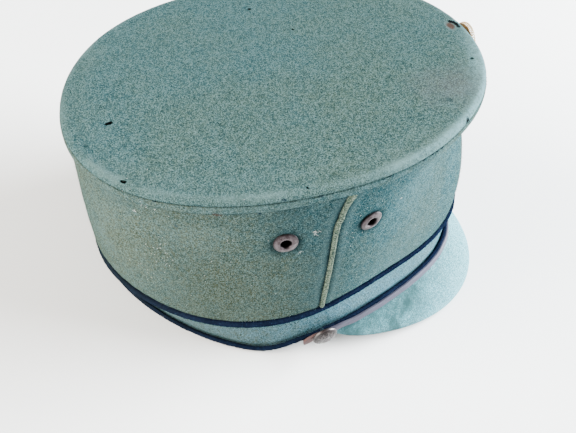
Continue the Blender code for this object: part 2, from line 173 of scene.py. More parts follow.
CORD_SIDES = 14
CUT_DEPTH = 6 * MM
EYELET_HOLE = 3.6 * MM
COCKADE_SHIFT = (1.2 * MM, 0, 0.9 * MM)
LINT_REACH = 12 * MM
NAP_ON_CROWN = 15000
NAP_ON_FOOT = 6000

# Turns of the three sides of a fibre.
THIRDS = (0, 2.0944, 4.1888)

# The fold under the top's seam, in millimetres: depth below the seam and how far it stands out.
FOLD_SECTION = [
    (0.25, -0.5), (0.3, 0.22), (0.9, 0.44), (2.0, 0.50), (3.0, 0.46), (3.45, 0.36), (3.7, 0.1), (3.75, -0.5),
]

# Bits of lint, in millimetres: where, how far they scatter, how many and how long.
LINT = table(
    "x y z spread count length",
    (-68.0, 91.4, 82.8, 1.0, 12, 0.7),
    (-87.6, 20.1, 88.4, 1.3, 26, 0.6),
    (-87.9, 24.5, 77.3, 0.8, 8, 0.6),
    (-76.9, -19.9, 96.6, 0.8, 8, 0.6),
    (-72.3, 80.9, 62.9, 7.0, 26, 0.6),
    (-70.5, 91.3, 91.2, 8.0, 26, 0.5),
    (-84.8, 5.0, 84.0, 9.0, 16, 0.4),
    (-83.0, -4.0, 92.0, 12.0, 14, 0.4),
    (-86.0, 52.0, 66.0, 24.0, 60, 0.4),
    (-72.0, 82.0, 45.0, 16.0, 35, 0.45),
    (-75.0, -20.0, 30.0, 16.0, 40, 0.4),
    (-60.0, -50.0, 60.0, 22.0, 40, 0.4),
)


def heading(angle):
    turn = np.radians(angle)
    return np.stack([np.sin(turn), -np.cos(turn), np.zeros_like(turn)], -1)


def oval_point(row, angle):
    angle = np.asarray(angle, float)
    turn = np.radians(angle)
    mean = (row["length"] + row["width"]) / 4 / (1 + row["square"])
    stretch = (row["length"] - row["width"]) / (row["length"] + row["width"]) * (1 + row["square"])
    radius = mean * (
        1 + stretch * np.cos(2 * turn) + row["egg"] * np.cos(3 * turn) + row["square"] * np.cos(4 * turn)
    )
    return heading(angle) * radius[..., None] - np.array([0, row["forward"], 0])


def unit(vectors):
    return vectors / np.linalg.norm(vectors, axis=-1, keepdims=True)


def oval_outward(row, angle):
    along = oval_point(row, angle + 0.5) - oval_point(row, angle - 0.5)
    return unit(np.stack([along[..., 1], -along[..., 0], np.zeros(along.shape[:-1])], -1))


def floor_height(point):
    return -BAND_DROP + math.tan(BACK_LEAN) * point[..., 1]


def sharp_lift(angle):
    corner = math.cos(math.radians(RIM_CORNER))
    reach = (np.cos(np.radians(angle)) - corner) / (1 - corner)
    soft = RIM_CORNER_SOFTNESS
    eased = (np.clip(reach, -soft, soft) + soft) ** 2 / (4 * soft)
    reach = np.where(reach < soft, eased, reach)
    return RIM_RISE * np.clip(reach, 0, None) ** RIM_RISE_POWER


def rim_lift(angle):
    """The rim's rise, with its corner a little softened by wear."""
    return sum(sharp_lift(np.asarray(angle, float) + off) for off in (-5.0, -2.5, 0.0, 2.5, 5.0)) / 5


def rim_cord_point(angle, outward=0.0, up=0.0):
    angle = np.asarray(angle, float)
    stand = np.asarray(CORD / 2 + GAP + outward, float)
    point = oval_point(RIM, angle) + oval_outward(RIM, angle) * stand[..., None]
    point[..., 2] += floor_height(point) + rim_lift(angle) + CORD_LIFT / math.cos(BACK_LEAN) + up
    return point


def all_round(count):
    """That many even angles round the drum."""
    return 360 * np.arange(count) / count


def off_from(angle, centre):
    """Degrees round the drum from a place, from -180 to 180."""
    return (angle - centre + 180) % 360 - 180


def near(angle, centre, spread):
    """From 1 at a place round the drum down to 0 away from it."""
    return np.exp(-((off_from(angle, centre) / spread) ** 2))


def fold_line(depth, middle, wide):
    """From 1 along a line at a depth down to 0 on both sides of it."""
    return np.exp(-(((depth - middle) / wide) ** 2))


def fade(distance, reach):
    """From 1 at no distance down to 0 further off; reach is in millimetres."""
    return np.exp(-distance / (reach * MM))


def dent_at(angle, share):
    depth = 0.0
    for dent in DENTS:
        off = off_from(angle, dent["angle"])
        reach = (off / dent["spread"]) ** 2 + ((share - dent["height"]) / dent["tall"]) ** 2
        depth = depth + dent["depth"] * CLOTH * np.exp(-reach)
    return depth


def tuck_at(angle, share):
    side = math.cos(math.radians(FRONT_TUCK_END))
    front = (np.cos(np.radians(angle)) - side) / (math.cos(math.radians(FRONT_TUCK_FULL)) - side)
    front = np.clip(front, 0, 1)
    front = front * front * (3 - 2 * front)
    middle = TUCK_HEIGHT / TUCK_TOP
    power = middle / (1 - middle)
    reach = np.clip(share / TUCK_TOP, 0, 1)
    shape = reach**power * (1 - reach) / (middle**power * (1 - middle))
    return (TOP_TUCK + FRONT_TUCK * front) * shape


def slack_at(angle, share):
    """Where worn cloth sags inward at the front of the wearer's right side."""
    rise = np.clip((share - 0.25) / 0.5, 0, 1)
    sag = SLACK["depth"] * near(angle, SLACK["angle"], SLACK["spread"]) * rise * rise * (3 - 2 * rise)
    return sag + 1.5 * MM * near(angle, SLACK["angle"], 26) * fold_line(share, 0.60, 0.17)


def seam_height(point):
    return CROWN_HEIGHT - math.tan(TOP_RISE) * point[..., 1]


def wall_point(angle, share):
    angle = np.asarray(angle, float)
    share = np.asarray(share, float) + 0 * angle
    base = oval_point(WAIST, angle)
    top = oval_point(TOP, angle)
    top[..., 2] += seam_height(top)
    swell = WALL_SWELL * np.sin(np.pi * np.clip(share, 0, 1)) - dent_at(angle, share) - tuck_at(angle, share)
    swell = swell - slack_at(angle, share)
    lift = oval_outward(WAIST, angle) * swell[..., None]
    return base + (top - base) * share[..., None] + lift


def wall_outward(angle, share):
    along = wall_point(angle + 0.5, share) - wall_point(angle - 0.5, share)
    upward = wall_point(angle, share + 0.01) - wall_point(angle, share - 0.01)
    return unit(np.cross(along, upward))


def top_wave(point):
    height = 0.0
    for wave in TOP_WAVES:
        side = point[..., 0] / (TOP["width"] / 2) - wave["side"]
        back = point[..., 1] / (TOP["length"] / 2) - wave["back"]
        height = height + wave["height"] * CLOTH * np.exp(-(side * side + back * back) / wave["spread"] ** 2)
    return height


def seam_angle(share):
    """The side seam, with the slight bow that wear has given it."""
    bow = 0.5 + 3.05 * share - 4.15 * share * share
    bow = bow + 0.6 * fold_line(share, 0.72, 0.14) - 0.62 * fold_line(share, 1.03, 0.10)
    return SEAM_BASE + (SEAM_TOP - SEAM_BASE) * share + bow


def peak_drop():
    root = rim_cord_point(0.0, outward=-PEAK_TUCK, up=-PEAK_SEAT)
    height = float(root[2] - floor_height(root)) * math.cos(BACK_LEAN)
    tip = PEAK_THICKNESS / 2 * math.cos(math.asin(height / PEAK_LENGTH))
    return BACK_LEAN + math.asin((height - tip) / PEAK_LENGTH)


def peak_frame(angle):
    """Root, outward run, upward side and length of the peak at each angle."""
    root = rim_cord_point(angle, outward=-PEAK_TUCK, up=-PEAK_SEAT)
    drop = peak_drop()
    across = np.clip(np.cos(np.pi / 2 * angle / PEAK_SPREAD), 0, None)
    length = PEAK_END + (PEAK_LENGTH - PEAK_END) * across**PEAK_FULLNESS
    out = oval_outward(RIM, angle)
    along = out * math.cos(drop) - np.array([0, 0, math.sin(drop)])
    proud = out * math.sin(drop) + np.array([0, 0, math.cos(drop)])
    return root, along, proud, length


def strap_corner(angle, out, down):
    place = abs(angle)
    for last, far in zip(STRAP_LINE, STRAP_LINE[1:]):
        if place <= far["angle"]:
            break
    share = min((place - last["angle"]) / (far["angle"] - last["angle"]), 1)
    eased = share * share * (3 - 2 * share)
    lean = math.radians(last["lean"] + (far["lean"] - last["lean"]) * eased)
    top = (last["rise"] + (far["rise"] - last["rise"]) * eased + 0.5) * STRAP_WIDTH
    outward = CORD / 2 + GAP + out * math.cos(lean) + down * math.sin(lean)
    return rim_cord_point(angle, outward=outward, up=top + out * math.sin(lean) - down * math.cos(lean))


def resting_place():
    lean = Matrix.Rotation(-BACK_LEAN, 4, "X") @ Matrix.Translation((0, 0, BAND_DROP))
    root, along, _, length = peak_frame(np.array(0.0))
    front = (lean @ Vector(root + along * length)).y - PEAK_THICKNESS / 2
    back = (lean @ Vector(wall_point(180.0, 1.0))).y
    return Matrix.Translation((0, -(front + back) / 2, 0)) @ lean


PLACE = resting_place()
PLACE_ARRAY = np.array(PLACE)


def place(points):
    return points @ PLACE_ARRAY[:3, :3].T + PLACE_ARRAY[:3, 3]


def ripple(points, size, seed):
    """Smooth noise from -1 to 1 over points, with features of about that size."""
    flat = points.reshape(-1, 3) / size + seed * 7.31
    values = [noise.noise(Vector(p)) for p in flat]
    return np.array(values).reshape(points.shape[:-1])


def placed(name, data):
    """A new object in the scene."""
    made = bpy.data.objects.new(name, data)
    bpy.context.scene.collection.objects.link(made)
    return made


def mesh_grid(name, points, around=False, closed_across=False, caps=False, keep=None, values=None):
    """A surface over rows of points, with the values kept on its points."""
    rows, columns = points.shape[:2]
    index = np.arange(rows * columns).reshape(rows, columns)
    if around:
        index = np.concatenate([index, index[:, :1]], 1)
    if closed_across:
        index = np.concatenate([index, index[:1]], 0)
    faces = np.stack([index[:-1, :-1], index[:-1, 1:], index[1:, 1:], index[1:, :-1]], -1).reshape(-1, 4)
    if keep is not None:
        faces = faces[keep(points.reshape(-1, 3)[faces].mean(1))]
    faces = [tuple(int(i) for i in face) for face in faces]
    if caps:
        for ring in (index[:-1, 0], index[:-1, -1][::-1]):
            faces.append(tuple(int(i) for i in ring))
    mesh = bpy.data.meshes.new(name)
    mesh.from_pydata([tuple(p) for p in points.reshape(-1, 3)], [], faces)
    for key, value in (values or {}).items():
        layer = mesh.attributes.new(key, "FLOAT", "POINT")
        layer.data.foreach_set("value", np.asarray(value, np.float32).reshape(-1))
    mesh.shade_smooth()
    return placed(name, mesh)


def thicken(made, thickness):
    layer = made.modifiers.new("cloth", "SOLIDIFY")
    layer.thickness = thickness
    layer.offset = -1
    layer.use_even_offset = False


def dress(made, look, slot, node=None):
    """Give a piece its material and its body, and hide the node that it replaces; the slot is not used."""
    if look:
        made.data.materials.append(look)
    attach(made, "root")
    if node:
        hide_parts(node)
    return made


def joined(name, objects):
    """Several meshes made into one."""
    shape = bmesh.new()
    for made in objects:
        shape.from_mesh(made.data)
    mesh = bpy.data.meshes.new(name)
    shape.to_mesh(mesh)
    shape.free()
    mesh.shade_smooth()
    for made in objects:
        bpy.data.objects.remove(made)
    return placed(name, mesh)


# Materials


class Nodes:
    """Short names for building a node material."""

    def __init__(self, name):
        self.material = bpy.data.materials.new(name)
        self.material.use_nodes = True
        self.tree = self.material.node_tree
        self.shader = self.tree.nodes["Principled BSDF"]
        self.coord = self.new("TexCoord").outputs["Object"]

    def new(self, kind):
        return self.tree.nodes.new("ShaderNode" + kind)

    def put(self, socket, value):
        if isinstance(value, bpy.types.NodeSocket):
            self.tree.links.new(value, socket)
        elif isinstance(value, (tuple, list)) and len(value) == 3 and socket.type == "RGBA":
            socket.default_value = (*value, 1.0)
        else:
            socket.default_value = value

    def mapped(self, spot, scale=(1, 1, 1), turn=0.0, kind="POINT"):
        """The object's own coordinates, moved, stretched and turned about Z."""
        spread = self.new("Mapping")
        spread.vector_type = kind
        self.put(spread.inputs["Vector"], self.coord)
        spread.inputs["Location"].default_value = spot
        spread.inputs["Rotation"].default_value = (0, 0, turn)
        spread.inputs["Scale"].default_value = scale
        return spread.outputs["Vector"]

    def noise(self, size, detail=4.0, rough=0.55, stretch=(1, 1, 1), seed=0.0, warp=0.0):
        node = self.new("TexNoise")
        self.put(node.inputs["Vector"], self.mapped((seed, seed * 0.7, -seed), stretch))
        node.inputs["Scale"].default_value = 1 / size
        node.inputs["Detail"].default_value = detail
        node.inputs["Roughness"].default_value = rough
        node.inputs["Distortion"].default_value = warp
        return node.outputs["Fac"]

    def cells(self, size, seed=0.0):
        node = self.new("TexVoronoi")
        self.put(node.inputs["Vector"], self.mapped((seed, -seed, seed * 0.4)))
        node.inputs["Scale"].default_value = 1 / size
        return node.outputs["Distance"]

    def tufts(self, size, seed=0.0):
        """A value from 0 to 1 for each small tuft, with uneven outlines."""
        spot = self.mapped((seed * 0.013, -seed * 0.009, seed * 0.011))
        jitter = self.new("TexNoise")
        self.put(jitter.inputs["Vector"], spot)
        jitter.inputs["Scale"].default_value = 1.1 / size
        jitter.inputs["Detail"].default_value = 2
        moved = self.new("VectorMath")
        moved.operation = "MULTIPLY_ADD"
        self.put(moved.inputs[0], jitter.outputs["Color"])
        moved.inputs[1].default_value = (size * 0.8,) * 3
        self.put(moved.inputs[2], spot)
        node = self.new("TexVoronoi")
        self.put(node.inputs["Vector"], moved.outputs["Vector"])
        node.inputs["Scale"].default_value = 1 / size
        parts = self.new("SeparateColor")
        self.put(parts.inputs[0], node.outputs["Color"])
        return parts.outputs[0]

    def value(self, name):
        node = self.new("Attribute")
        node.attribute_name = name
        return node.outputs["Fac"]

    def math(self, operation, a, b, clamp=False):
        node = self.new("Math")
        node.operation = operation
        node.use_clamp = clamp
        self.put(node.inputs[0], a)
        self.put(node.inputs[1], b)
        return node.outputs[0]

    def ramp(self, value, low, high, bottom=0.0, top=1.0):
        node = self.new("MapRange")
        node.interpolation_type = "SMOOTHSTEP"
        self.put(node.inputs["Value"], value)
        node.inputs["From Min"].default_value = low
        node.inputs["From Max"].default_value = high
        node.inputs["To Min"].default_value = bottom
        node.inputs["To Max"].default_value = top
        return node.outputs["Result"]

    def mix(self, share, a, b):
        node = self.new("Mix")
        node.data_type = "RGBA"
        self.put(node.inputs["Factor"], share)
        self.put(node.inputs["A"], a)
        self.put(node.inputs["B"], b)
        return node.outputs["Result"]

    def over(self, colour, value, low, high, amount, other):
        """Another colour laid over this one as the value goes from low to high."""
        return self.mix(self.ramp(value, low, high, 0, amount), colour, other)

    def bump(self, height, strength, distance, before=None):
        node = self.new("Bump")
        node.inputs["Strength"].default_value = strength
        node.inputs["Distance"].default_value = distance
        self.put(node.inputs["Height"], height)
        if before is not None:
            self.put(node.inputs["Normal"], before)
        return node.outputs["Normal"]

    def distance_to(self, centre, scale, warp, warp_size, turn=0.0):
        """Distance from a place, stretched to the scale and made uneven by the warp."""
        length = self.new("VectorMath")
        length.operation = "LENGTH"
        self.put(length.inputs[0], self.mapped(centre, scale, turn, "TEXTURE"))
        uneven = self.math("MULTIPLY", self.noise(warp_size), warp)
        return self.math("ADD", length.outputs["Value"], uneven)

    def finish(self, colour, roughness, normal=None, metallic=0.0, specular=0.3):
        self.put(self.shader.inputs["Base Color"], colour)
        self.put(self.shader.inputs["Roughness"], roughness)
        self.put(self.shader.inputs["Metallic"], metallic)
        self.put(self.shader.inputs["Specular IOR Level"], specular)
        if normal is not None:
            self.put(self.shader.inputs["Normal"], normal)
        return self.material


def felt(name, cool, warm, pale, dark, seed=0.0):
    """Felted wool: a mix of cool, warm, pale and dark fibres with a short worn nap."""
    n = Nodes(name)
    drift = n.noise(0.055, detail=3, seed=seed)
    mottle = n.noise(0.009, detail=5, rough=0.65, seed=seed + 3)
    hue = n.noise(0.0026, detail=3, rough=0.7, seed=seed + 4)
    tuft = n.tufts(0.00035, seed=seed + 5)
    clump = n.tufts(0.00070, seed=seed + 6)
    fine = n.noise(0.0004, detail=2, rough=0.8, seed=seed + 8)
    fibres = n.noise(0.0004, detail=3, rough=0.7, stretch=(1, 0.35, 0.6), seed=seed + 11, warp=1.5)
    grain = n.math("ADD", n.math("MULTIPLY", tuft, 0.94), n.math("MULTIPLY", clump, 0.06))
    patches = n.math("MULTIPLY", n.ramp(drift, 0.35, 0.65), 0.45)
    tint = n.math("ADD", patches, n.math("MULTIPLY", n.value("warm"), 0.8))
    tint = n.math("ADD", tint, n.ramp(hue, 0.38, 0.62, -0.18, 0.18), clamp=True)
    colour = n.mix(tint, cool, warm)
    colour = n.over(colour, mottle, 0.45, 0.74, 0.10, pale)
    colour = n.over(colour, grain, 0.50, 0.95, 0.72, pale)
    colour = n.over(colour, grain, 0.52, 0.05, 0.84, dark)
    colour = n.over(colour, fibres, 0.64, 0.76, 0.12, dark)
    # The pale colour is mixed in for wear and, on the wall, band and top, also as painted light where the
    # lamps fall. The dark colour is then mixed in as painted shade in creases, grooves and seams and on sides
    # turned from the light.
    wear = n.math("MULTIPLY", n.value("wear"), n.ramp(mottle, 0.25, 0.6, 0.25, 0.5))
    colour = n.mix(wear, colour, pale)
    painted_shade = n.math("MULTIPLY", n.value("painted_shade"), n.ramp(mottle, 0.2, 0.7, 0.4, 1.0))
    colour = n.mix(painted_shade, colour, dark)
    nap = n.bump(grain, 0.50, 0.0005)
    nap = n.bump(fine, 0.45, 0.0003, nap)
    nap = n.bump(fibres, 0.35, 0.0004, nap)
    nap = n.bump(mottle, 0.30, 0.0012, nap)
    return n, n.finish(colour, 1.0, nap, specular=0.0), colour


def stains_and_painted_shadows(cloth, marks):
    """The felt with its spots: each mark is an uneven disc about a place on the cloth. Most are stains; the
    black ones on the top are painted shadow and painted shade in a hole.
    """
    n, made, colour = cloth
    for row in marks:
        size = (row["size"], row["size"] * row["narrow"], row["size"])
        reach = n.distance_to(row["at"], size, turn=row["turn"], warp=0.5, warp_size=0.0011)
        colour = n.over(colour, reach, 1.3, 0.75, row["depth"], row["colour"])
    n.put(n.shader.inputs["Base Color"], colour)
    return made


def rubbed_top():
    """The top's felt, with a wide patch rubbed to its grey ground."""
    n, made, colour = felt("felt_top", COOL, WARM, PALE, DARK)
    rubbed = n.distance_to((-0.040, -0.046, 0.132), (0.022, 0.026, 0.030), warp=0.9, warp_size=0.006)
    colour = n.over(colour, rubbed, 1.5, 0.5, 0.26, RUBBED)
    # Pale blue where the front edge is rubbed, brightened as painted light from the front.
    uneven = n.ramp(n.noise(0.0016, detail=4, rough=0.7, seed=19), 0.35, 0.62, 0.35, 1.0)
    colour = n.mix(n.math("MULTIPLY", n.value("rub_and_painted_light"), uneven), colour, LIT_RUB)
    return n, made, colour


COOL = (0.0215, 0.0555, 0.0630)
WARM = (0.0365, 0.0590, 0.0450)
PALE = (0.095, 0.159, 0.158)
DARK = (0.003, 0.011, 0.014)
RUBBED = (0.084, 0.080, 0.094)
BROWN = (0.040, 0.012, 0.007)
BLACK = (0.003, 0.003, 0.004)
INK = (0.003, 0.007, 0.016)
# Pale blue of the top's front edge: rubbed cloth with painted light from the front.
LIT_RUB = (0.150, 0.275, 0.305)
EDGE_HOLE = (-0.0633, -0.0435, 0.1288)
# Spots on the felt: place, size, width against length, turn, depth and colour. The black arc beside the brown
# tear is a painted shadow, and the black spot at EDGE_HOLE paints the shade inside a hole at the top's edge.
TOP_MARKS = table(
    "at size narrow turn depth colour",
    ((0.0089, -0.0638, 0.1364), 0.0056, 0.56, 0.0, 0.70, PALE),
    ((0.0089, -0.0638, 0.1364), 0.0046, 0.54, 0.0, 0.85, BROWN),
    ((0.0130, -0.0652, 0.1369), 0.0020, 0.7, 0.0, 0.97, BLACK),
    ((0.0116, -0.0664, 0.1371), 0.0021, 0.6, 0.0, 0.97, BLACK),
    ((0.0096, -0.0670, 0.1371), 0.0022, 0.6, 0.0, 0.97, BLACK),
    ((0.0072, -0.0671, 0.1371), 0.0020, 0.6, 0.0, 0.92, BLACK),
    (EDGE_HOLE, 0.0023, 0.8, 0.5, 0.98, BLACK),
    ((-0.0382, 0.1107, 0.0921), 0.0016, 0.8, 0.0, 0.6, DARK),
    ((-0.0533, 0.0768, 0.1002), 0.0012, 0.8, 0.0, 0.6, DARK),
    ((-0.0501, -0.0403, 0.1304), 0.0022, 0.7, 0.4, 0.5, DARK),
    ((-0.0895, 0.0376, 0.1088), 0.0006, 2.8, 0.0, 0.85, INK),
)
WALL_MARKS = table(
    "at size narrow turn depth colour",
    ((-0.0854, 0.0615, 0.0974), 0.0016, 1.5, 0.0, 0.55, BROWN),
    ((-0.0887, 0.0457, 0.1008), 0.0008, 1.0, 0.0, 0.85, INK),
    ((-0.0774, 0.0755, 0.0833), 0.0011, 1.0, 0.0, 0.6, INK),
)


# Cloth pieces


def wall_grid(start, finish_at, columns):
    """Where the wall's points lie between two side seams, and how far from its edges."""
    lowest = (CORD / 2 + GAP) / CROWN_HEIGHT
    highest = 1 - 0.7 * GAP / CROWN_HEIGHT
    rows = 84
    share = lowest + (highest - lowest) * (0.5 - 0.5 * np.cos(np.pi * np.arange(rows + 1) / rows)) ** 0.9
    clear = SEAM_CORD / 2 - 0.45 * MM
    first = start(share)
    last = finish_at(share)
    first = first + np.degrees(clear / np.linalg.norm(oval_point(WAIST, first), axis=-1))
    last = last - np.degrees(clear / np.linalg.norm(oval_point(WAIST, last), axis=-1))
    step = np.arange(columns + 1)
    run = (0.5 - 0.5 * np.cos(np.pi * step / columns)) * 0.25 + 0.75 * step / columns
    angle = first[:, None] + (last - first)[:, None] * run[None, :]
    share = share[:, None] + 0 * angle
    points = wall_point(angle, share)
    radius = np.linalg.norm(points[..., :2], axis=-1)
    return SimpleNamespace(
        angle=angle,
        share=share,
        points=points,
        below_top=(highest - share) * CROWN_HEIGHT,
        above_foot=(share - lowest) * CROWN_HEIGHT,
        from_side=np.minimum(angle - first[:, None], last[:, None] - angle) * np.pi / 180 * radius,
        broad=ripple(points, 34 * MM, 1),
        uneven=ripple(points, 9 * MM, 2),
        fold=3.7 * MM + 0.35 * MM * ripple(points * LEVEL, 14 * MM, 5),
    )


def wall_push(wall, holes):
    """How far the wall's points stand out: waves, puckers, seam folds and eyelet seats."""
    pucker = ripple(wall.points * np.array([1, 1, 0.35]), 5.5 * MM, 3)
    push = 0.30 * MM * wall.broad + 0.10 * MM * wall.uneven
    push += 0.16 * MM * pucker * (fade(wall.below_top, 6) + fade(wall.above_foot, 4))
    ridge = 0.7 + 0.6 * wall.uneven
    push += 0.30 * MM * ridge * np.clip((wall.fold - wall.below_top) / (0.5 * MM), 0, 1)
    push -= 0.16 * MM * fold_line(wall.below_top, wall.fold + 0.4 * MM, 0.5 * MM)
    push -= 0.45 * MM * fade(wall.below_top, 0.25)
    push -= 0.35 * MM * fade(wall.above_foot, 0.5)
    push -= 0.55 * MM * fade(wall.from_side, 0.45)
    push += 0.22 * MM * fold_line(wall.from_side, 3.0 * MM, 1.9 * MM)
    for centre in holes:
        reach = np.linalg.norm(wall.points - centre, axis=-1)
        seat = 0.45 * MM * np.exp(-((reach / (5.6 * MM)) ** 4))
        push -= seat - 0.18 * MM * fold_line(reach, 8 * MM, 2.4 * MM)
    return push


def wall_wear_and_painted_light(wall, points, ring, is_rear):
    """How warm and worn the wall is at each point, and where light and shade are painted on it."""
    # Warmer at the rear-left and cooler at the front-right: in part the cloth's own tone, in part the painted
    # colour of the warm back light and the cool front light.
    rear_left = near(wall.angle, -152, 42)
    warm = 0.30 + 0.6 * rear_left + 0.42 * near(wall.angle, -112, 17)
    warm = warm - 0.35 * near(wall.angle, -52, 34)
    wear = 0.8 * fold_line(wall.below_top, 2.0 * MM, 1.5 * MM)
    wear += 0.6 * fold_line(wall.from_side, 3.0 * MM, 2.0 * MM)
    # Paler at the rear-left and at the front-right: painted light where the lamps fall.
    wear += 0.5 * rear_left * np.clip(ripple(points, 26 * MM, 9) + 0.35, 0, 1)
    wear += 0.30 * near(wall.angle, -46, 14)
    # Painted shade: darker in the crease under the fold, along the top and the foot, beside the side cords,
    # down the side and round the eyelet seats, and less where the front light falls.
    crease = fold_line(wall.below_top, wall.fold + 0.4 * MM, 0.5 * MM)
    painted_shade = 0.8 * crease * np.clip(0.5 + 0.9 * wall.uneven, 0, 1)
    painted_shade *= 1 - 0.85 * near(wall.angle, -40, 34)
    painted_shade += 0.4 * fade(wall.below_top, 0.3) + 0.3 * fade(wall.above_foot, 0.7)
    painted_shade += 0.6 * fade(wall.from_side, 0.9)
    painted_shade += 0.22 * fold_line(wall.below_top, 8 * MM, 5 * MM) * np.clip(0.5 + wall.broad, 0, 1)
    painted_shade += 0.30 * near(wall.angle, -90, 16)
    painted_shade += 0.32 * near(wall.angle, -122, 13) * np.clip((wall.below_top - 18 * MM) / (15 * MM), 0, 1)
    if is_rear:
        # Painted shadow of the side cord on the rear panel.
        painted_shade += 0.75 * fade(wall.from_side, 2.3)
    else:
        # Painted shade beside the cord, and painted light low on the front-right.
        painted_shade += 0.45 * fade(wall.from_side, 6)
        wear += 0.30 * near(wall.angle, -56, 14) * np.clip(1 - wall.share / 0.5, 0, 1)
    painted_shade += 0.95 * fold_line(ring, 5.5 * MM, 0.8 * MM) + 0.35 * fold_line(ring, 6.5 * MM, 2.2 * MM)
    return dict(warm=np.clip(warm, 0, 1), wear=np.clip(wear, 0, 1), painted_shade=np.clip(painted_shade, 0, 1))


def wall_panel(name, start, finish_at, columns):
    """The drum's wall between two side seams, open where the eyelets go through."""
    wall = wall_grid(start, finish_at, columns)
    holes = np.array([wall_point(side * row["angle"], row["height"]) for row in EYELETS for side in (-1, 1)])
    points = wall.points + wall_outward(wall.angle, wall.share) * wall_push(wall, holes)[..., None]
    ring = np.linalg.norm(points[..., None, :] - holes, axis=-1).min(-1)
    open_at = place(holes)

    def keep(centres):
        away = np.linalg.norm(centres[:, None, :] - open_at[None], axis=-1).min(1)
        return away > EYELET_HOLE

    values = wall_wear_and_painted_light(wall, points, ring, name == "rear_panel")
    made = mesh_grid(name, place(points), keep=keep, values=values)
    thicken(made, CLOTH)
    return dress(made, WALL_FELT, "cloth", name)


def top_rings():
    """Inset, height and share of the waves for each ring of the top, from its seam inwards."""
    rings = []
    for turn in np.linspace(-12, 90, 14):
        bend = math.radians(turn)
        rings.append((EDGE_ROLL * (1 - math.cos(bend)), EDGE_FOOT + EDGE_ROLL * math.sin(bend), 0.0))
    rings[0] = (0.55 * MM, 0.02 * MM, 0.0)
    rings[1] = (0.10 * MM, 0.16 * MM, 0.0)
    inset = EDGE_ROLL
    while inset < 0.96 * TOP["width"] / 2:
        inset += 1.15 * MM if inset < 14 * MM else 1.7 * MM
        rings.append((inset, EDGE_FOOT + EDGE_ROLL, min((inset - EDGE_ROLL) / (12 * MM), 1.0)))
    return rings


def top_wear_and_painted_light(angle, spot, inset, height):
    """How warm, worn and rubbed one ring of the top is, and where light and shade are painted on it."""
    front_right = near(angle, -34, 36)
    rear_left = near(angle, -148, 26)
    across = np.clip(ripple(spot, 16 * MM, 16) + 0.6, 0, 1)
    # Paler along the rolled edge: wear, with a painted highlight on the roll, and paler at the front-right
    # where painted light falls.
    worn = 0.95 * across * fold_line(inset, 2.0 * MM, 1.7 * MM)
    worn = worn + 0.25 * fold_line(inset, 9 * MM, 5 * MM) * across
    worn = worn + 0.2 * front_right * fold_line(inset, 3.0 * MM, 3.4 * MM)
    # Pale blue along the front-right and front edge: rubbed cloth brightened as painted light from the front.
    rub_and_painted_light = 0.60 * front_right * fold_line(inset, 1.2 * MM, 1.7 * MM)
    rub_and_painted_light = rub_and_painted_light + 0.5 * near(angle, -14, 13) * fold_line(inset, 4.2 * MM, 3.0 * MM)
    # Painted shade in the seam's groove, least at the front-right where the light falls, and a faint line of
    # it in the shallow groove further in.
    foot = (0.6 + 0.4 * rear_left) * (1 - 0.9 * front_right) * fade(max(height - 0.1 * MM, 0), 0.3)
    painted_shade = foot + 0.10 * fold_line(inset, 6.0 * MM, 1.5 * MM)
    return dict(warm=0.16 - 5.0 * spot[:, 0] - 2.4 * spot[:, 1], wear=worn, painted_shade=painted_shade, rub_and_painted_light=rub_and_painted_light)


def close_middle(made, around):
    """Close a mesh's last ring with one face."""
    shape = bmesh.new()
    shape.from_mesh(made.data)
    shape.verts.ensure_lookup_table()
    count = len(shape.verts)
    shape.faces.new([shape.verts[i] for i in range(count - around, count)])
    shape.to_mesh(made.data)
    shape.free()
    made.data.shade_smooth()


def crown_top():
    """The flat top; its edge is rolled, rubbed pale with painted light over it, and stitched down at the
    seam.
    """
    around = 320
    angle = all_round(around)
    centre = np.array([0, -TOP["forward"], 0])
    level = wall_point(angle, 1.0) * LEVEL - centre
    reach = np.linalg.norm(level, axis=-1)
    rows, wear = [], []
    for inset, height, wave in top_rings():
        spot = centre + level * (1 - inset / reach)[:, None]
        lift = top_wave(spot) * wave + 0.28 * MM * ripple(spot, 30 * MM, 12) * wave
        lift += 0.07 * MM * ripple(spot, 7 * MM, 13) * wave
        lift -= 0.30 * MM * fold_line(inset, 6.2 * MM, 1.7 * MM) * (0.8 + 0.5 * ripple(spot, 12 * MM, 14))
        crimp = ripple(spot * LEVEL, 6 * MM, 15)
        lift += 0.14 * MM * crimp * fold_line(inset, 2.6 * MM, 2.4 * MM)
        point = spot.copy()
        point[:, 2] = seam_height(spot) + height + lift
        rows.append(point)
        wear.append(top_wear_and_painted_light(angle, spot, inset, height))
    points = np.array(rows)
    values = {key: np.clip(np.array([row[key] for row in wear]), 0, 1) for key in wear[0]}
    made = mesh_grid("crown_top_felt", place(points), around=True, values=values)
    close_middle(made, around)
    thicken(made, CLOTH)
    made.data.materials.append(TOP_FELT)
    # The cut walls of the holes take the near-black finish as painted shade.
    made.data.materials.append(HOLE_SHADE)
    for row in MOTH_HOLES:
        cut_hole(made, row, points)
    return dress(made, None, "cloth", "crown_top")


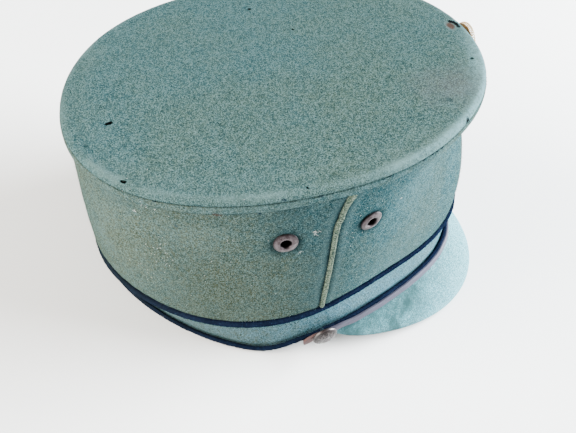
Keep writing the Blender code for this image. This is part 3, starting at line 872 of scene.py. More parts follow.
def cut_hole(made, row, points):
    """A ragged hole eaten right through the cloth."""
    flat = place(points.reshape(-1, 3))
    target = np.array([row["x"] * MM, row["y"] * MM])
    index = int(np.argmin(np.linalg.norm(flat[:, :2] - target, axis=1)))
    sides = 18
    turn = math.radians(row["turn"])
    ring = []
    for i in range(sides):
        bend = 2 * math.pi * i / sides
        ragged = 1 + 0.34 * noise.noise(Vector((math.cos(bend) * 1.7, math.sin(bend) * 1.7, row["x"])))
        ragged *= 0.5 * MM
        ring.append((row["length"] * ragged * math.cos(bend), row["width"] * ragged * math.sin(bend)))
    verts = [(x, y, z) for z in (-CUT_DEPTH, CUT_DEPTH) for x, y in ring]
    faces = [tuple(range(sides))[::-1], tuple(range(sides, 2 * sides))]
    for i in range(sides):
        j = (i + 1) % sides
        faces.append((i, j, sides + j, sides + i))
    mesh = bpy.data.meshes.new("moth_cutter")
    mesh.from_pydata(verts, [], faces)
    mesh.materials.append(HOLE_SHADE)
    cutter = placed("moth_cutter", mesh)
    lean = made.data.vertices[index].normal.to_track_quat("Z", "Y").to_matrix().to_4x4()
    cutter.matrix_world = Matrix.Translation(flat[index]) @ lean @ Matrix.Rotation(turn, 4, "Z")
    cutter.hide_render = True
    cutter.hide_viewport = True
    cutter.display_type = "WIRE"
    cut = made.modifiers.new("moth_hole", "BOOLEAN")
    cut.operation = "DIFFERENCE"
    cut.solver = "EXACT"
    cut.object = cutter
    cut.material_mode = "TRANSFER"


def band():
    """The strip between the cords, with its foot turned under."""
    around = 420
    angle = all_round(around)
    upright = CORD_LIFT + CORD / 2 + GAP
    high = oval_point(WAIST, angle)
    high[:, 2] = -(CORD / 2 + GAP)
    low = oval_point(RIM, angle)
    low[:, 2] += floor_height(low) + rim_lift(angle)
    turn = low + np.array([0, 0, upright])
    outward = oval_outward(RIM, angle)
    tall = np.linalg.norm(high - turn, axis=-1)
    inner_rows, outer_rows, values = [], [], dict(warm=[], wear=[], painted_shade=[])
    shares = 0.5 - 0.5 * np.cos(np.pi * np.arange(23) / 22)
    profile = [(share, None) for share in shares] + [(1.0, climb) for climb in (0.66, 0.33, 0.12, 0.0)]
    for share, climb in profile:
        point = high + (turn - high) * share if climb is None else low + np.array([0, 0, upright * climb])
        down = share * tall
        up = (1 - share) * tall
        push = 0.16 * MM * ripple(point, 16 * MM, 21) + 0.10 * MM * ripple(point, 5 * MM, 22)
        push = push * np.clip(np.minimum(down, up) / (3 * MM), 0, 1) - 0.3 * MM * fade(down, 0.5)
        if climb is not None:
            push = 0 * down - (0.35 * MM if climb == 0 else 0)
        outer_rows.append(point + outward * np.asarray(push)[:, None])
        inner_rows.append(point - outward * (CLOTH - (0.35 * MM if climb == 0 else 0)))
        behind = np.clip((np.abs(off_from(angle, 0)) - 68) / 40, 0, 1)
        values["warm"].append(0.12 + 0.80 * behind)
        # Painted light: paler at the rear-left and at the front-right, where the lamps fall.
        lighter = 0.35 * near(angle, 205, 26) + 0.26 * near(angle, 306, 22)
        values["wear"].append(0.15 * np.clip(ripple(point, 8 * MM, 23) + 0.3, 0, 1) + lighter)
        # Painted shade in the grooves along both cords, spared at the front-right where the light falls, and
        # a little over the back.
        sunlit = 1 - 0.85 * near(angle, 306, 30)
        foot = 0.5 * fade(down, 0.8) + 0.45 * fade(up, 0.9) * sunlit + 0.20 * behind
        values["painted_shade"].append(foot)
    points = np.concatenate([np.array(outer_rows), np.array(inner_rows)[::-1]])
    values = {key: np.array(rows) for key, rows in values.items()}
    values = {key: np.clip(np.concatenate([rows, rows[::-1]]), 0, 1) for key, rows in values.items()}
    made = mesh_grid("band_felt", place(points), around=True, closed_across=True, values=values)
    return dress(made, BAND_FELT, "band", "band")


def peak():
    """The peak: felt over a stiff core, its edge turned under."""
    across = 240
    angle = np.linspace(-PEAK_SPREAD, PEAK_SPREAD, across + 1)
    root, along, proud, length = peak_frame(angle)
    half = PEAK_THICKNESS / 2
    outline = [(share, 1.0) for share in np.linspace(0, 1, 36)[:-1]]
    nose = [math.radians(turn) for turn in np.linspace(90, -90, 13)]
    under = [(share, -1.0) for share in np.linspace(1, 0, 20)[1:]]
    rows, wear, painted_shade, warm = [], [], [], []

    def add(share, side, out, height):
        crowning = PEAK_CROWNING * math.sin(math.pi * min(share, 1)) ** 1.5 * length / PEAK_LENGTH
        reach = length * share - half * (share > 0.94) * (share - 0.94) / 0.06 + out
        point = root + along * reach[:, None] + proud * (crowning + height)[:, None]
        if side > 0:
            push = 0.22 * MM * ripple(point, 17 * MM, 31) + 0.05 * MM * ripple(point, 5 * MM, 32)
            point = point + proud * (push * min(share * 4, 1) * min((1.02 - share) * 8, 1))[:, None]
        rows.append(point)
        worn = 0.5 * fold_line(length * (1 - share), 1.0 * MM, 2.0 * MM)
        wear.append(worn + 0.2 * np.clip(ripple(point, 14 * MM, 33), 0, 1))
        # Painted shade: darker towards the sides near the strap, where the drum shades the peak, darker still
        # at the far sides, at the root and all over the underside.
        shade = 1.10 * fade(length * share, 26) * np.clip((np.abs(angle) - 9) / 34, 0, 1)
        shade = shade + 0.75 * np.clip((np.abs(angle) - 38) / 28, 0, 1)
        painted_shade.append(0.3 * fade(length * share, 3.5) + shade + (0.5 if side < 0 else 0.0))
        warm.append(0.1 + 0 * length)

    for share, side in outline:
        add(share, side, 0.0, half)
    for turn in nose:
        add(1.0, math.sin(turn), half * math.cos(turn), half * math.sin(turn))
    for share, side in under:
        add(share, side, 0.0, -half)
    values = dict(wear=np.clip(np.array(wear), 0, 1), painted_shade=np.clip(np.array(painted_shade), 0, 1), warm=np.array(warm))
    made = mesh_grid("peak_felt", place(np.array(rows)), closed_across=True, caps=True, values=values)
    return dress(made, PEAK_FELT, "peak", "peak")


def sweep(name, line, outward, radius, sides, around, flat=None, seed=0.0, fray=0.0):
    """A soft cord along a line; radius may change along it."""
    if around:
        along = unit(np.roll(line, -1, 0) - np.roll(line, 1, 0))
    else:
        along = unit(np.gradient(line, axis=0))
    out = unit(outward - along * np.sum(outward * along, -1, keepdims=True))
    side = np.cross(along, out)
    radius = np.broadcast_to(radius, len(line))
    flat = np.ones(len(line)) if flat is None else flat
    rows = []
    for i in range(sides):
        turn = 2 * math.pi * i / sides
        ring = out * (math.cos(turn) * radius * flat)[:, None] + side * (math.sin(turn) * radius)[:, None]
        rows.append(line + ring)
    points = np.array(rows)
    if seed:
        lump = ripple(points, 2.3 * MM, seed) * 0.07 * MM + ripple(points, 7 * MM, seed + 1) * 0.09 * MM
        if fray:
            lump = lump + ripple(points, 0.8 * MM, seed + 2) * fray
        centre = line[None]
        points = points + unit(points - centre) * lump[..., None]
    return mesh_grid(name, points, around=around, closed_across=True, caps=not around)


def seam_fold():
    """The turned edge under the top's seam, which covers the side cords' upper ends."""
    around = 420
    angle = all_round(around)
    run = []
    for depth, out in FOLD_SECTION:
        share = 1 - depth * MM / CROWN_HEIGHT + 0 * angle
        base = wall_point(angle, share)
        uneven = ripple(base * LEVEL, 14 * MM, 5)
        share = share - max(depth - 1, 0) / 2.7 * 0.35 * MM * uneven / CROWN_HEIGHT
        bump_over = sum(near(angle, side * seam_angle(1.0), 1.5) for side in (-1, 1))
        stand = out + 0.06 * ripple(base, 4 * MM, 6) + 0.35 * bump_over * (out > 0)
        run.append(wall_point(angle, share) + wall_outward(angle, share) * (stand * MM)[:, None])
    points = np.array(run)[::-1]
    rear_left = near(angle, -152, 42)
    spread = np.ones((len(run), 1))
    speckle = np.clip(ripple(points, 9 * MM, 16) + 0.6, 0, 1)
    # The lowest rows of the fold get painted shade, the shadow line under its edge.
    low_rows = (np.arange(len(run)) < 3)[:, None]
    values = dict(
        warm=spread * np.clip(0.30 + 0.6 * rear_left, 0, 1),
        wear=0.45 * speckle,
        painted_shade=0.10 * speckle + 0.6 * low_rows,
    )
    made = mesh_grid("seam_fold", place(points), around=True, values=values)
    dress(made, WALL_FELT, "cloth")


def cords():
    """The navy cords over both edges of the band."""
    around = 1400
    angle = all_round(around)
    high = oval_point(WAIST, angle)
    wander = ripple(high, 13 * MM, 41)[:, None] * 0.12 * MM
    outward = oval_outward(WAIST, angle)
    tucked = 1.7 * MM * near(angle, 182, 15)[:, None]
    line = high + outward * (wander + 0.15 * MM - tucked)
    upper = sweep("upper_cord", line, outward, 1.15 * CORD / 2, CORD_SIDES, True, seed=42, fray=0.26 * MM)
    low = rim_cord_point(angle)
    lift = np.clip(ripple(low, 13 * MM, 44), 0, 1)[:, None] * 0.10 * MM
    line = low + np.array([0, 0, 1]) * lift
    outward = oval_outward(RIM, angle)
    lower = sweep("lower_cord", line, outward, 0.88 * CORD / 2, CORD_SIDES, True, seed=45, fray=0.24 * MM)
    for made, node in ((upper, "upper_piping"), (lower, "lower_piping")):
        greyed = made.data.attributes.new("warm", "FLOAT", "POINT")
        greyed.data.foreach_set("value", np.tile(near(angle, 190, 38), CORD_SIDES).astype(np.float32))
        made.data.transform(PLACE)
        dress(made, NAVY_CORD, "navy", node)


def side_cord(name, side):
    """A cloth-covered cord over the side seam, flattened and frayed where it meets the top."""
    lowest = (CORD / 2 + SEAM_CORD / 2 + GAP) / CROWN_HEIGHT - 0.006
    highest = 1 - 3 * GAP / CROWN_HEIGHT
    share = np.linspace(lowest, highest, 190)
    angle = side * seam_angle(share)
    line = wall_point(angle, share)
    outward = wall_outward(angle, share)
    tangent = unit(np.cross(outward, unit(np.gradient(line, axis=0)))) * side
    below = (highest - share) * CROWN_HEIGHT
    kink = fold_line(below, 16.5 * MM, 1.6 * MM)
    flare = np.clip(1 - (below - 3.0 * MM) / (8 * MM), 0, 1) ** 1.6
    tucked = np.clip((below - 2.6 * MM) / (1.4 * MM), 0, 1)
    slip = 0.22 * MM * ripple(line, 22 * MM, 51) + 0.45 * MM * kink
    lift = 0.15 * MM * ripple(line, 9 * MM, 52) - 0.9 * MM * (1 - tucked)
    line = line + tangent * slip[:, None] + outward * lift[:, None]
    radius = SEAM_CORD / 2 * (1 + 0.10 * kink + 0.75 * flare)
    flat = 1 - 0.30 * flare - 0.05 * kink
    made = sweep(name + "_cloth", line, outward, radius, 16, False, flat=flat, seed=53, fray=0.08 * MM)
    made.data.transform(PLACE)
    dress(made, SEAM_FELT, "cloth", name)


def stitches():
    """Threads that show in the groove below the top's edge."""
    parts = []
    random.seed(7)
    step = STITCH_STEP / (TOP["length"] / 2)
    turn = 0.0
    while turn < 2 * math.pi:
        angle = math.degrees(turn)
        shown = abs(off_from(angle, STITCHED)) < STITCHED_SPREAD
        shown = random.random() < (0.42 if shown else 0.12)
        if not shown:
            turn += step
            continue
        spread = math.degrees(0.62 * step) * random.uniform(0.7, 1.15)
        sample = np.array([angle, angle + spread * 0.5, angle + spread])
        outward = wall_outward(sample, np.full(3, 0.99))
        line = wall_point(sample, np.array([0.9966, 0.9972, 0.9966]))
        line = line + outward * np.array([[-0.20], [0.28], [-0.20]]) * MM
        line[:, 2] += random.uniform(-0.25, 0.25) * MM
        parts.append(sweep("stitch", line, outward, THREAD_RADIUS, 6, False))
        turn += step * random.uniform(0.92, 1.08)
    made = joined("seam_stitches", parts)
    made.data.transform(PLACE)
    dress(made, THREAD, "navy")


# Leather, metal and thread pieces


def chin_strap():
    """The leather strap: rounded edges, a raised ridge, a painted highlight along its long edges and a curled
    tab at each end.
    """
    steps = 420
    corner = 0.36 * MM
    section = []
    for out, down, first in (
        (STRAP_THICKNESS - corner, corner, 90),
        (STRAP_THICKNESS - corner, STRAP_WIDTH - corner, 0),
        (corner, STRAP_WIDTH - corner, -90),
        (corner, corner, -180),
    ):
        for turn in (first, first - 30, first - 60, first - 90):
            bend = math.radians(turn)
            section.append((out + corner * math.cos(bend), down - corner * math.sin(bend)))
    rows = []
    for i in range(steps + 1):
        angle = -STRAP_REACH + 2 * STRAP_REACH * i / steps
        end = max(0.0, (abs(angle) - (STRAP_REACH - 2.2)) / 2.2)
        wave = noise.noise(Vector((angle / 5, 3, 0))) * 0.16 * MM
        curl = 0.5 * MM * max(0.0, (abs(angle) - 87.5) / 4) ** 1.5
        ahead = min(max((75 - abs(angle)) / 35, 0), 1)
        beside = min(max((86 - abs(angle)) / 8, 0), 1) * (1 - ahead)
        taper = (1 - 0.42 * end**1.5) * (1 - 0.13 * ahead - 0.25 * beside)
        base = strap_corner(angle, -0.4 * MM, 0.0)
        far = strap_corner(angle, -0.4 * MM, STRAP_WIDTH)
        top_out = strap_corner(angle, STRAP_THICKNESS - 0.4 * MM, 0.0) - base
        run = far - base
        row = []
        for out, down in section:
            middle = (down / STRAP_WIDTH - 0.5) * taper + 0.5 - 0.38 * ahead - 0.14 * beside
            bulge = 0.14 * MM * math.sin(math.pi * down / STRAP_WIDTH) if out > STRAP_THICKNESS / 2 else 0
            lift = (out + bulge + wave + curl) / STRAP_THICKNESS
            row.append(base + run * middle + top_out * lift)
        rows.append(row)
    points = np.array(rows).transpose(1, 0, 2)
    angle = np.linspace(-STRAP_REACH, STRAP_REACH, steps + 1)
    tab = np.clip((np.abs(angle) - 84) / 3.5, 0, 1)
    # Both long edges carry the painted highlight.
    edge = np.array([1.0 if abs(down / STRAP_WIDTH - 0.5) > 0.40 else 0.0 for out, down in section])
    deep = np.clip((np.abs(angle) - 46) / 26, 0, 1)
    values = dict(tab=np.tile(tab, (len(section), 1)), edge=np.tile(edge[:, None], (1, steps + 1)))
    values["deep"] = np.tile(deep, (len(section), 1))
    made = mesh_grid("strap_leather", place(points), closed_across=True, caps=True, values=values)
    dress(made, LEATHER, "leather", "chin_strap")


def facing(spot, outward):
    turned_to = Vector(outward).to_track_quat("Z", "Y").to_matrix().to_4x4()
    return PLACE @ Matrix.Translation(Vector(spot)) @ turned_to


def turned_mesh(name, profile, sides, change, shade=None):
    """A turned piece from its profile, with each point changed by its radius, height and turn."""
    rows = []
    for radius, height in profile:
        row = []
        for i in range(sides):
            turn = 2 * math.pi * i / sides
            r, z = change(radius, height, turn)
            row.append((r * math.cos(turn), r * math.sin(turn), z))
        rows.append(row)
    values = None
    if shade:
        values = {"rim": np.array([[shade(radius)] * sides for radius, height in profile])[::-1]}
    return mesh_grid(name, np.array(rows)[::-1], around=True, values=values)


def smooth_profile(points, steps):
    """A round-cornered line through the points of a profile."""
    result = []
    count = len(points)
    for i in range(count - 1):
        before = Vector(points[max(i - 1, 0)])
        near = Vector(points[i])
        far = Vector(points[i + 1])
        after = Vector(points[min(i + 2, count - 1)])
        for j in range(steps):
            t = j / steps
            spot = 0.5 * (
                2 * near
                + (far - before) * t
                + (2 * before - 5 * near + 4 * far - after) * t * t
                + (3 * near - before - 3 * far + after) * t**3
            )
            result.append((max(spot.x, 0), spot.y))
    result.append(points[-1])
    return result


def eyelet(name, angle, height):
    """A rolled ring: dull and pitted, a little out of round."""
    bore = EYELET_BORE / 2
    barrel = bore + EYELET_METAL
    flange = EYELET_DIAMETER / 2
    back = -(CLOTH + GAP)
    outer = [
        (bore, back - EYELET_METAL),
        (bore, 0.0),
        (bore + 0.05 * MM, EYELET_DOME * 0.55),
        (bore + 0.45 * MM, EYELET_DOME * 0.98),
        (bore + 1.1 * MM, EYELET_DOME * 1.02),
        (bore + 1.9 * MM, EYELET_DOME * 0.80),
        (flange - 0.35 * MM, EYELET_DOME * 0.50),
        (flange, EYELET_DOME * 0.18),
        (flange - 0.12 * MM, -0.25 * MM),
        (flange - 0.7 * MM, -0.45 * MM),
    ]
    inner = [
        (barrel, -0.45 * MM),
        (barrel, back),
        (barrel + 1.2 * MM, back),
        (barrel + 1.2 * MM, back - EYELET_METAL),
        (bore, back - EYELET_METAL),
    ]
    seed = angle * 0.37

    def change(radius, level, turn):
        spot = Vector((math.cos(turn) * 1.3, math.sin(turn) * 1.3, seed))
        wobble = noise.noise(spot) * 0.16 * MM
        share = min(max((radius - bore) / (flange - bore), 0), 1)
        tilt = 0.12 * MM * math.cos(turn - 1.2 + seed) * share
        return radius + wobble * share, level + (tilt + wobble * 0.5 if level > -1 * MM else 0)

    def shade(radius):
        near_edge = math.exp(-(((flange - radius) / (0.42 * MM)) ** 2))
        near_bore = math.exp(-(((radius - bore) / (0.22 * MM)) ** 2))
        return min(1.0, 0.9 * near_edge + 0.85 * near_bore)

    made = turned_mesh(name + "_metal", smooth_profile(outer, 4) + inner, 56, change, shade)
    spot = wall_point(angle, height)
    made.data.transform(facing(spot, wall_outward(angle, height)))
    dress(made, EYELET_METAL_LOOK, "eyelet", name)


def relief(x, y):
    """A plain pebbled relief inside a corded rim, from 0 to 1."""
    radius = math.hypot(x, y)
    turn = math.atan2(y, x)
    if radius > 0.80:
        cordage = 0.5 + 0.5 * math.sin(turn * 44 + radius * 26)
        return cordage * math.exp(-(((radius - 0.86) / 0.05) ** 2))
    pebbles = noise.noise(Vector((x * 6.2, y * 6.2, 4.7))) * 0.9
    pebbles += noise.noise(Vector((x * 13, y * 13, 1.3))) * 0.7
    leaves = math.sin(turn * 9 + 5.0 * radius) * math.exp(-(((radius - 0.5) / 0.22) ** 2))
    return 0.5 + 0.5 * max(-1.0, min(1.0, pebbles + 0.25 * leaves))


def strap_button(name, side):
    radius = BUTTON_DIAMETER / 2
    tall = BUTTON_THICKNESS
    rows, hollow = [], []
    sides = 110
    face = 0.955
    dome = [(share, tall * (1 - 0.62 * share**2.6)) for share in np.linspace(0.002, face, 34)]
    rim = [(0.985, tall * 0.33), (1.0, tall * 0.24), (1.0, tall * 0.15), (0.985, tall * 0.06)]
    rim += [(0.94, 0.0), (0.5, 0.0), (0.002, 0.0)]
    for share, height in dome + rim:
        row, depths = [], []
        for i in range(sides):
            turn = 2 * math.pi * i / sides
            x = share * math.cos(turn)
            y = share * math.sin(turn)
            up = height
            depth = 0.0
            if share < face:
                raised = relief(x, y)
                up += 0.34 * MM * (raised - 0.5) * min(1.0, (face - share) * 20)
                depth = 1 - raised
            row.append((x * radius, y * radius, up))
            depths.append(depth)
        rows.append(row)
        hollow.append(depths)
    values = dict(hollow=np.array(hollow)[::-1])
    made = mesh_grid(name + "_metal", np.array(rows)[::-1], around=True, values=values)
    angle = side * BUTTON_ANGLE
    droop = math.radians(BUTTON_DROOP)
    outward = oval_outward(RIM, angle) * math.cos(droop) - np.array([0, 0, math.sin(droop)])
    spot = rim_cord_point(angle, outward=BUTTON_STAND, up=BUTTON_RAISE)
    made.data.transform(facing(spot, outward))
    dress(made, BUTTON_METAL, "button", name)
    shank_line = np.array([spot - outward * 3.2 * MM, spot - outward * 1.5 * MM, spot + outward * 0.3 * MM])
    upward = np.tile(np.array([0.0, 0.0, 1.0]), (3, 1))
    shank = sweep(name + "_shank", shank_line, upward, 0.9 * MM, 10, False)
    shank.data.transform(PLACE)
    dress(shank, THREAD, "navy")


def cockade():
    """A rosette of wound thread inside a gold cord of twisted wire."""
    half = COCKADE_WIDTH / 2
    stretch = COCKADE_HEIGHT / COCKADE_WIDTH
    tall = COCKADE_THICKNESS
    share = 1 - (COCKADE_HEIGHT / 2 - COCKADE_RAISE) / CROWN_HEIGHT
    lowest = 1 - COCKADE_HEIGHT / CROWN_HEIGHT
    spot = wall_point(COCKADE_ANGLE, share)
    outward = wall_outward(COCKADE_ANGLE, (lowest + 1) / 2)
    shares = [lowest + (1 - lowest) * i / 8 for i in range(9)]
    proudest = max(float(np.dot(wall_point(COCKADE_ANGLE, height) - spot, outward)) for height in shares)
    where = facing(spot + outward * (proudest + GAP), outward) @ Matrix.Diagonal((1, stretch, 1, 1))
    profile = smooth_profile(
        [
            (0.0, tall * 0.90),
            (half * 0.20, tall * 0.84),
            (half * 0.27, tall * 0.48),
            (half * 0.42, tall * 0.66),
            (half * 0.56, tall * 0.50),
            (half * 0.70, tall * 0.60),
            (half * 0.80, tall * 0.40),
            (half * 0.92, tall * 0.36),
            (half * 0.96, tall * 0.10),
            (half * 0.90, 0.0),
            (0.0, 0.0),
        ],
        6,
    )
    profile[0] = (0.02 * MM, profile[0][1])
    profile[-1] = (0.02 * MM, 0.0)

    def change(radius, height, turn):
        thread = math.sin(turn * 64 + radius / half * 20)
        return 0.94 * radius, 0.86 * height + (0.07 * MM * thread if height > tall * 0.2 else 0)

    disc = turned_mesh("cockade_disc", profile, 192, change)
    where = Matrix.Translation(COCKADE_SHIFT) @ where
    disc.data.transform(where)
    dress(disc, COCKADE_CLOTH, "cockade", "cockade")
    parts = []
    for radius, height, thick, loops in ((0.88, 0.42, 1.05, 58), (0.30, 0.55, 0.8, 18)):
        steps = loops * 12
        turn = 2 * np.pi * np.arange(steps) / steps
        coil = turn * loops
        ring = half * radius + thick * MM * np.cos(coil)
        level = tall * height
        line = np.stack([ring * np.cos(turn), ring * np.sin(turn), level + thick * MM * np.sin(coil)], -1)
        core = half * radius
        centre = np.stack([core * np.cos(turn), core * np.sin(turn), 0 * turn + level], -1)
        parts.append(sweep("wire", line, line - centre, 0.22 * MM, 6, True))
    gold = joined("cockade_gold", parts)
    gold.data.transform(where)
    dress(gold, GOLD_WIRE, "cockade", "cockade")


def surface_tree(objects):
    verts, faces = [], []
    for made in objects:
        start = len(verts)
        verts += [v.co.copy() for v in made.data.vertices]
        faces += [tuple(start + i for i in p.vertices) for p in made.data.polygons]
    return BVHTree.FromPolygons(verts, faces)


def strand(start, outward, length, lean, curl, rng):
    """Points of one bent fibre that stands or lies on the cloth."""
    side = outward.orthogonal().normalized()
    side.rotate(Matrix.Rotation(rng.uniform(0, 2 * math.pi), 3, outward))
    other = outward.cross(side)
    spots = []
    for i in range(4):
        t = i / 3
        spot = start + side * length * t * math.cos(lean) + outward * length * t * math.sin(lean)
        spots.append(spot + other * curl * length * t * t)
    return spots


def add_strand(verts, faces, spots, outward, thick):
    """A fibre as a thin three-sided tube that narrows to its tip."""
    base = len(verts)
    count = len(spots)
    for i, spot in enumerate(spots):
        along = (spots[min(i + 1, count - 1)] - spots[max(i - 1, 0)]).normalized()
        side = along.cross(outward)
        side = side.normalized() if side.length > 1e-9 else outward.orthogonal().normalized()
        other = along.cross(side)
        size = thick * (1 - 0.6 * i / (count - 1))
        for turn in THIRDS:
            verts.append(spot + side * math.cos(turn) * size + other * math.sin(turn) * size)
    for i in range(count - 1):
        for j in range(3):
            k = (j + 1) % 3
            a = base + i * 3
            faces.append((a + j, a + k, a + 3 + k, a + 3 + j))


def loose_mesh(name, verts, faces, look, slot):
    mesh = bpy.data.meshes.new(name)
    mesh.from_pydata(verts, [], faces)
    mesh.shade_smooth()
    dress(placed(name, mesh), look, slot)


def lint(tree):
    """Pale bits of fluff caught on the cloth."""
    rng = random.Random(11)
    verts, faces = [], []
    for row in LINT:
        for _ in range(row["count"]):
            centre = Vector((row["x"], row["y"], row["z"])) * MM
            centre += Vector((rng.gauss(0, 1), rng.gauss(0, 1), rng.gauss(0, 1))) * row["spread"] * MM * 0.6
            spot, normal, _, far = tree.find_nearest(centre)
            if spot is None or far > LINT_REACH:
                continue
            length = row["length"] * MM * rng.uniform(0.3, 1.0)
            thick = rng.uniform(0.05, 0.11) * MM
            start = spot + normal * thick
            spots = strand(start, normal, length, rng.uniform(0, 0.25), rng.uniform(-0.7, 0.7), rng)
            add_strand(verts, faces, spots, normal, thick)
    loose_mesh("lint", verts, faces, LINT_LOOK, "cloth")


def nap(name, objects, count, length, look, slot, seed):
    """Short loose fibres that stand from the cloth."""
    rng = random.Random(seed)
    verts, faces = [], []
    for made, share in objects:
        mesh = made.data
        mesh.calc_loop_triangles()
        areas = np.array([t.area for t in mesh.loop_triangles])
        outer = np.cumsum(areas) / areas.sum()
        for _ in range(int(count * share)):
            triangle = mesh.loop_triangles[int(np.searchsorted(outer, rng.random()))]
            a, b, c = [mesh.vertices[i].co for i in triangle.vertices]
            u, v = rng.random(), rng.random()
            if u + v > 1:
                u, v = 1 - u, 1 - v
            spot = a + (b - a) * u + (c - a) * v
            normal = triangle.normal.copy()
            size = length * rng.uniform(0.4, 1.4)
            thick = rng.uniform(0.018, 0.034) * MM
            spots = strand(spot, normal, size, rng.uniform(0.2, 1.2), rng.uniform(-0.8, 0.8), rng)
            add_strand(verts, faces, spots, normal, thick)
    loose_mesh(name, verts, faces, look, slot)


# Finishes


def navy_cord():
    """A cord covered in navy wool, lighter where it is rubbed."""
    n = Nodes("navy_cord")
    fine = n.noise(0.0008, detail=3, rough=0.7, seed=3)
    broad = n.noise(0.008, detail=4, seed=5)
    twist = n.noise(0.0016, detail=2, stretch=(1, 1, 0.6), seed=9)
    colour = n.mix(n.ramp(broad, 0.35, 0.65), (0.0028, 0.0050, 0.0125), (0.0044, 0.0078, 0.0195))
    colour = n.over(colour, fine, 0.54, 0.72, 0.45, (0.014, 0.036, 0.072))
    colour = n.over(colour, fine, 0.48, 0.34, 0.6, (0.0008, 0.002, 0.006))
    colour = n.mix(n.math("MULTIPLY", n.value("warm"), 0.75), colour, (0.0085, 0.0120, 0.0150))
    normal = n.bump(fine, 0.6, 0.0005)
    normal = n.bump(twist, 0.5, 0.0007, normal)
    return n.finish(colour, 1.0, normal, specular=0.0)


def thread_look():
    n = Nodes("seam_thread")
    fine = n.noise(0.0007, seed=2)
    colour = n.mix(n.ramp(fine, 0.4, 0.6), (0.003, 0.009, 0.014), (0.010, 0.020, 0.026))
    return n.finish(colour, 0.9, n.bump(fine, 0.4, 0.0003), specular=0.05)


def leather():
    """Old strap leather: mauve brown and dulled, redder on the short tab."""
    n = Nodes("strap_leather")
    cells = n.cells(0.0006, seed=1)
    broad = n.noise(0.010, detail=5, seed=4)
    fine = n.noise(0.0012, detail=4, seed=6)
    along = n.noise(0.004, detail=3, stretch=(1, 0.4, 2.5), seed=8)
    colour = n.mix(n.ramp(broad, 0.35, 0.68), (0.024, 0.023, 0.043), (0.038, 0.039, 0.066))
    colour = n.over(colour, along, 0.5, 0.7, 0.45, (0.058, 0.058, 0.078))
    colour = n.over(colour, fine, 0.45, 0.30, 0.6, (0.008, 0.005, 0.006))
    colour = n.mix(n.math("MULTIPLY", n.value("deep"), 0.62), colour, (0.014, 0.009, 0.015))
    tab = n.mix(n.ramp(broad, 0.35, 0.7), (0.056, 0.015, 0.003), (0.104, 0.034, 0.008))
    tab = n.over(tab, fine, 0.45, 0.32, 0.7, (0.014, 0.006, 0.004))
    colour = n.mix(n.value("tab"), colour, tab)
    # Painted highlight: the strap's long edges are made lighter and bluer.
    edge = n.math("MULTIPLY", n.value("edge"), 0.40)
    colour = n.mix(edge, colour, (0.078, 0.080, 0.110))
    normal = n.bump(cells, 0.35, 0.0004)
    normal = n.bump(fine, 0.4, 0.0004, normal)
    rough = n.ramp(broad, 0.3, 0.7, 0.42, 0.62)
    return n.finish(colour, rough, normal, specular=0.12)


def eyelet_metal():
    """Tarnished metal with mauve and brown bloom."""
    n = Nodes("eyelet_metal")
    bloom = n.noise(0.0022, detail=5, rough=0.7, seed=2)
    pits = n.noise(0.0006, detail=3, seed=7)
    colour = n.mix(n.ramp(bloom, 0.38, 0.64), (0.062, 0.049, 0.053), (0.022, 0.014, 0.015))
    colour = n.over(colour, bloom, 0.62, 0.74, 0.8, (0.022, 0.009, 0.005))
    colour = n.over(colour, pits, 0.42, 0.30, 0.7, (0.006, 0.004, 0.004))
    # Painted shade: near black at the flange's outer edge, where it meets the cloth, and round the bore.
    colour = n.mix(n.value("rim"), colour, (0.003, 0.002, 0.003))
    rough = n.ramp(bloom, 0.3, 0.7, 0.30, 0.52)
    return n.finish(colour, rough, n.bump(pits, 0.35, 0.0003), metallic=0.85, specular=0.5)


def button_metal():
    """Dull white metal, dark in the hollows of its relief."""
    n = Nodes("button_metal")
    bloom = n.noise(0.0030, detail=5, rough=0.7, seed=12)
    pits = n.noise(0.0005, detail=3, seed=15)
    colour = n.mix(n.ramp(bloom, 0.38, 0.66), (0.064, 0.056, 0.055), (0.030, 0.021, 0.021))
    colour = n.over(colour, n.value("hollow"), 0.35, 0.75, 0.92, (0.007, 0.006, 0.006))
    colour = n.over(colour, pits, 0.42, 0.28, 0.6, (0.020, 0.016, 0.014))
    rough = n.ramp(bloom, 0.3, 0.7, 0.28, 0.5)
    return n.finish(colour, rough, n.bump(pits, 0.3, 0.0002), metallic=0.85, specular=0.5)


def cockade_cloth():
    n = Nodes("cockade_cloth")
    fine = n.noise(0.0008, detail=3, seed=2)
    broad = n.noise(0.004, detail=3, seed=3)
    colour = n.mix(n.ramp(broad, 0.35, 0.65), (0.076, 0.040, 0.013), (0.130, 0.078, 0.032))
    colour = n.over(colour, fine, 0.5, 0.7, 0.5, (0.180, 0.125, 0.066))
    colour = n.over(colour, fine, 0.46, 0.30, 0.7, (0.024, 0.010, 0.004))
    return n.finish(colour, 0.8, n.bump(fine, 0.5, 0.0004), specular=0.1)


def gold_wire():
    n = Nodes("gold_wire")
    bloom = n.noise(0.0020, detail=4, seed=6)
    colour = n.mix(n.ramp(bloom, 0.36, 0.64), (0.370, 0.235, 0.085), (0.450, 0.350, 0.190))
    colour = n.over(colour, bloom, 0.62, 0.76, 0.7, (0.100, 0.050, 0.018))
    rough = n.ramp(bloom, 0.3, 0.7, 0.30, 0.55)
    return n.finish(colour, rough, n.bump(bloom, 0.2, 0.0003), metallic=0.6, specular=0.5)


def plain(name, colour, other, rough, size):
    n = Nodes(name)
    fleck = n.noise(size, detail=3, seed=4)
    mixed = n.mix(n.ramp(fleck, 0.35, 0.65), colour, other)
    return n.finish(mixed, rough, n.bump(fleck, 0.2, 0.0002), specular=0.0)


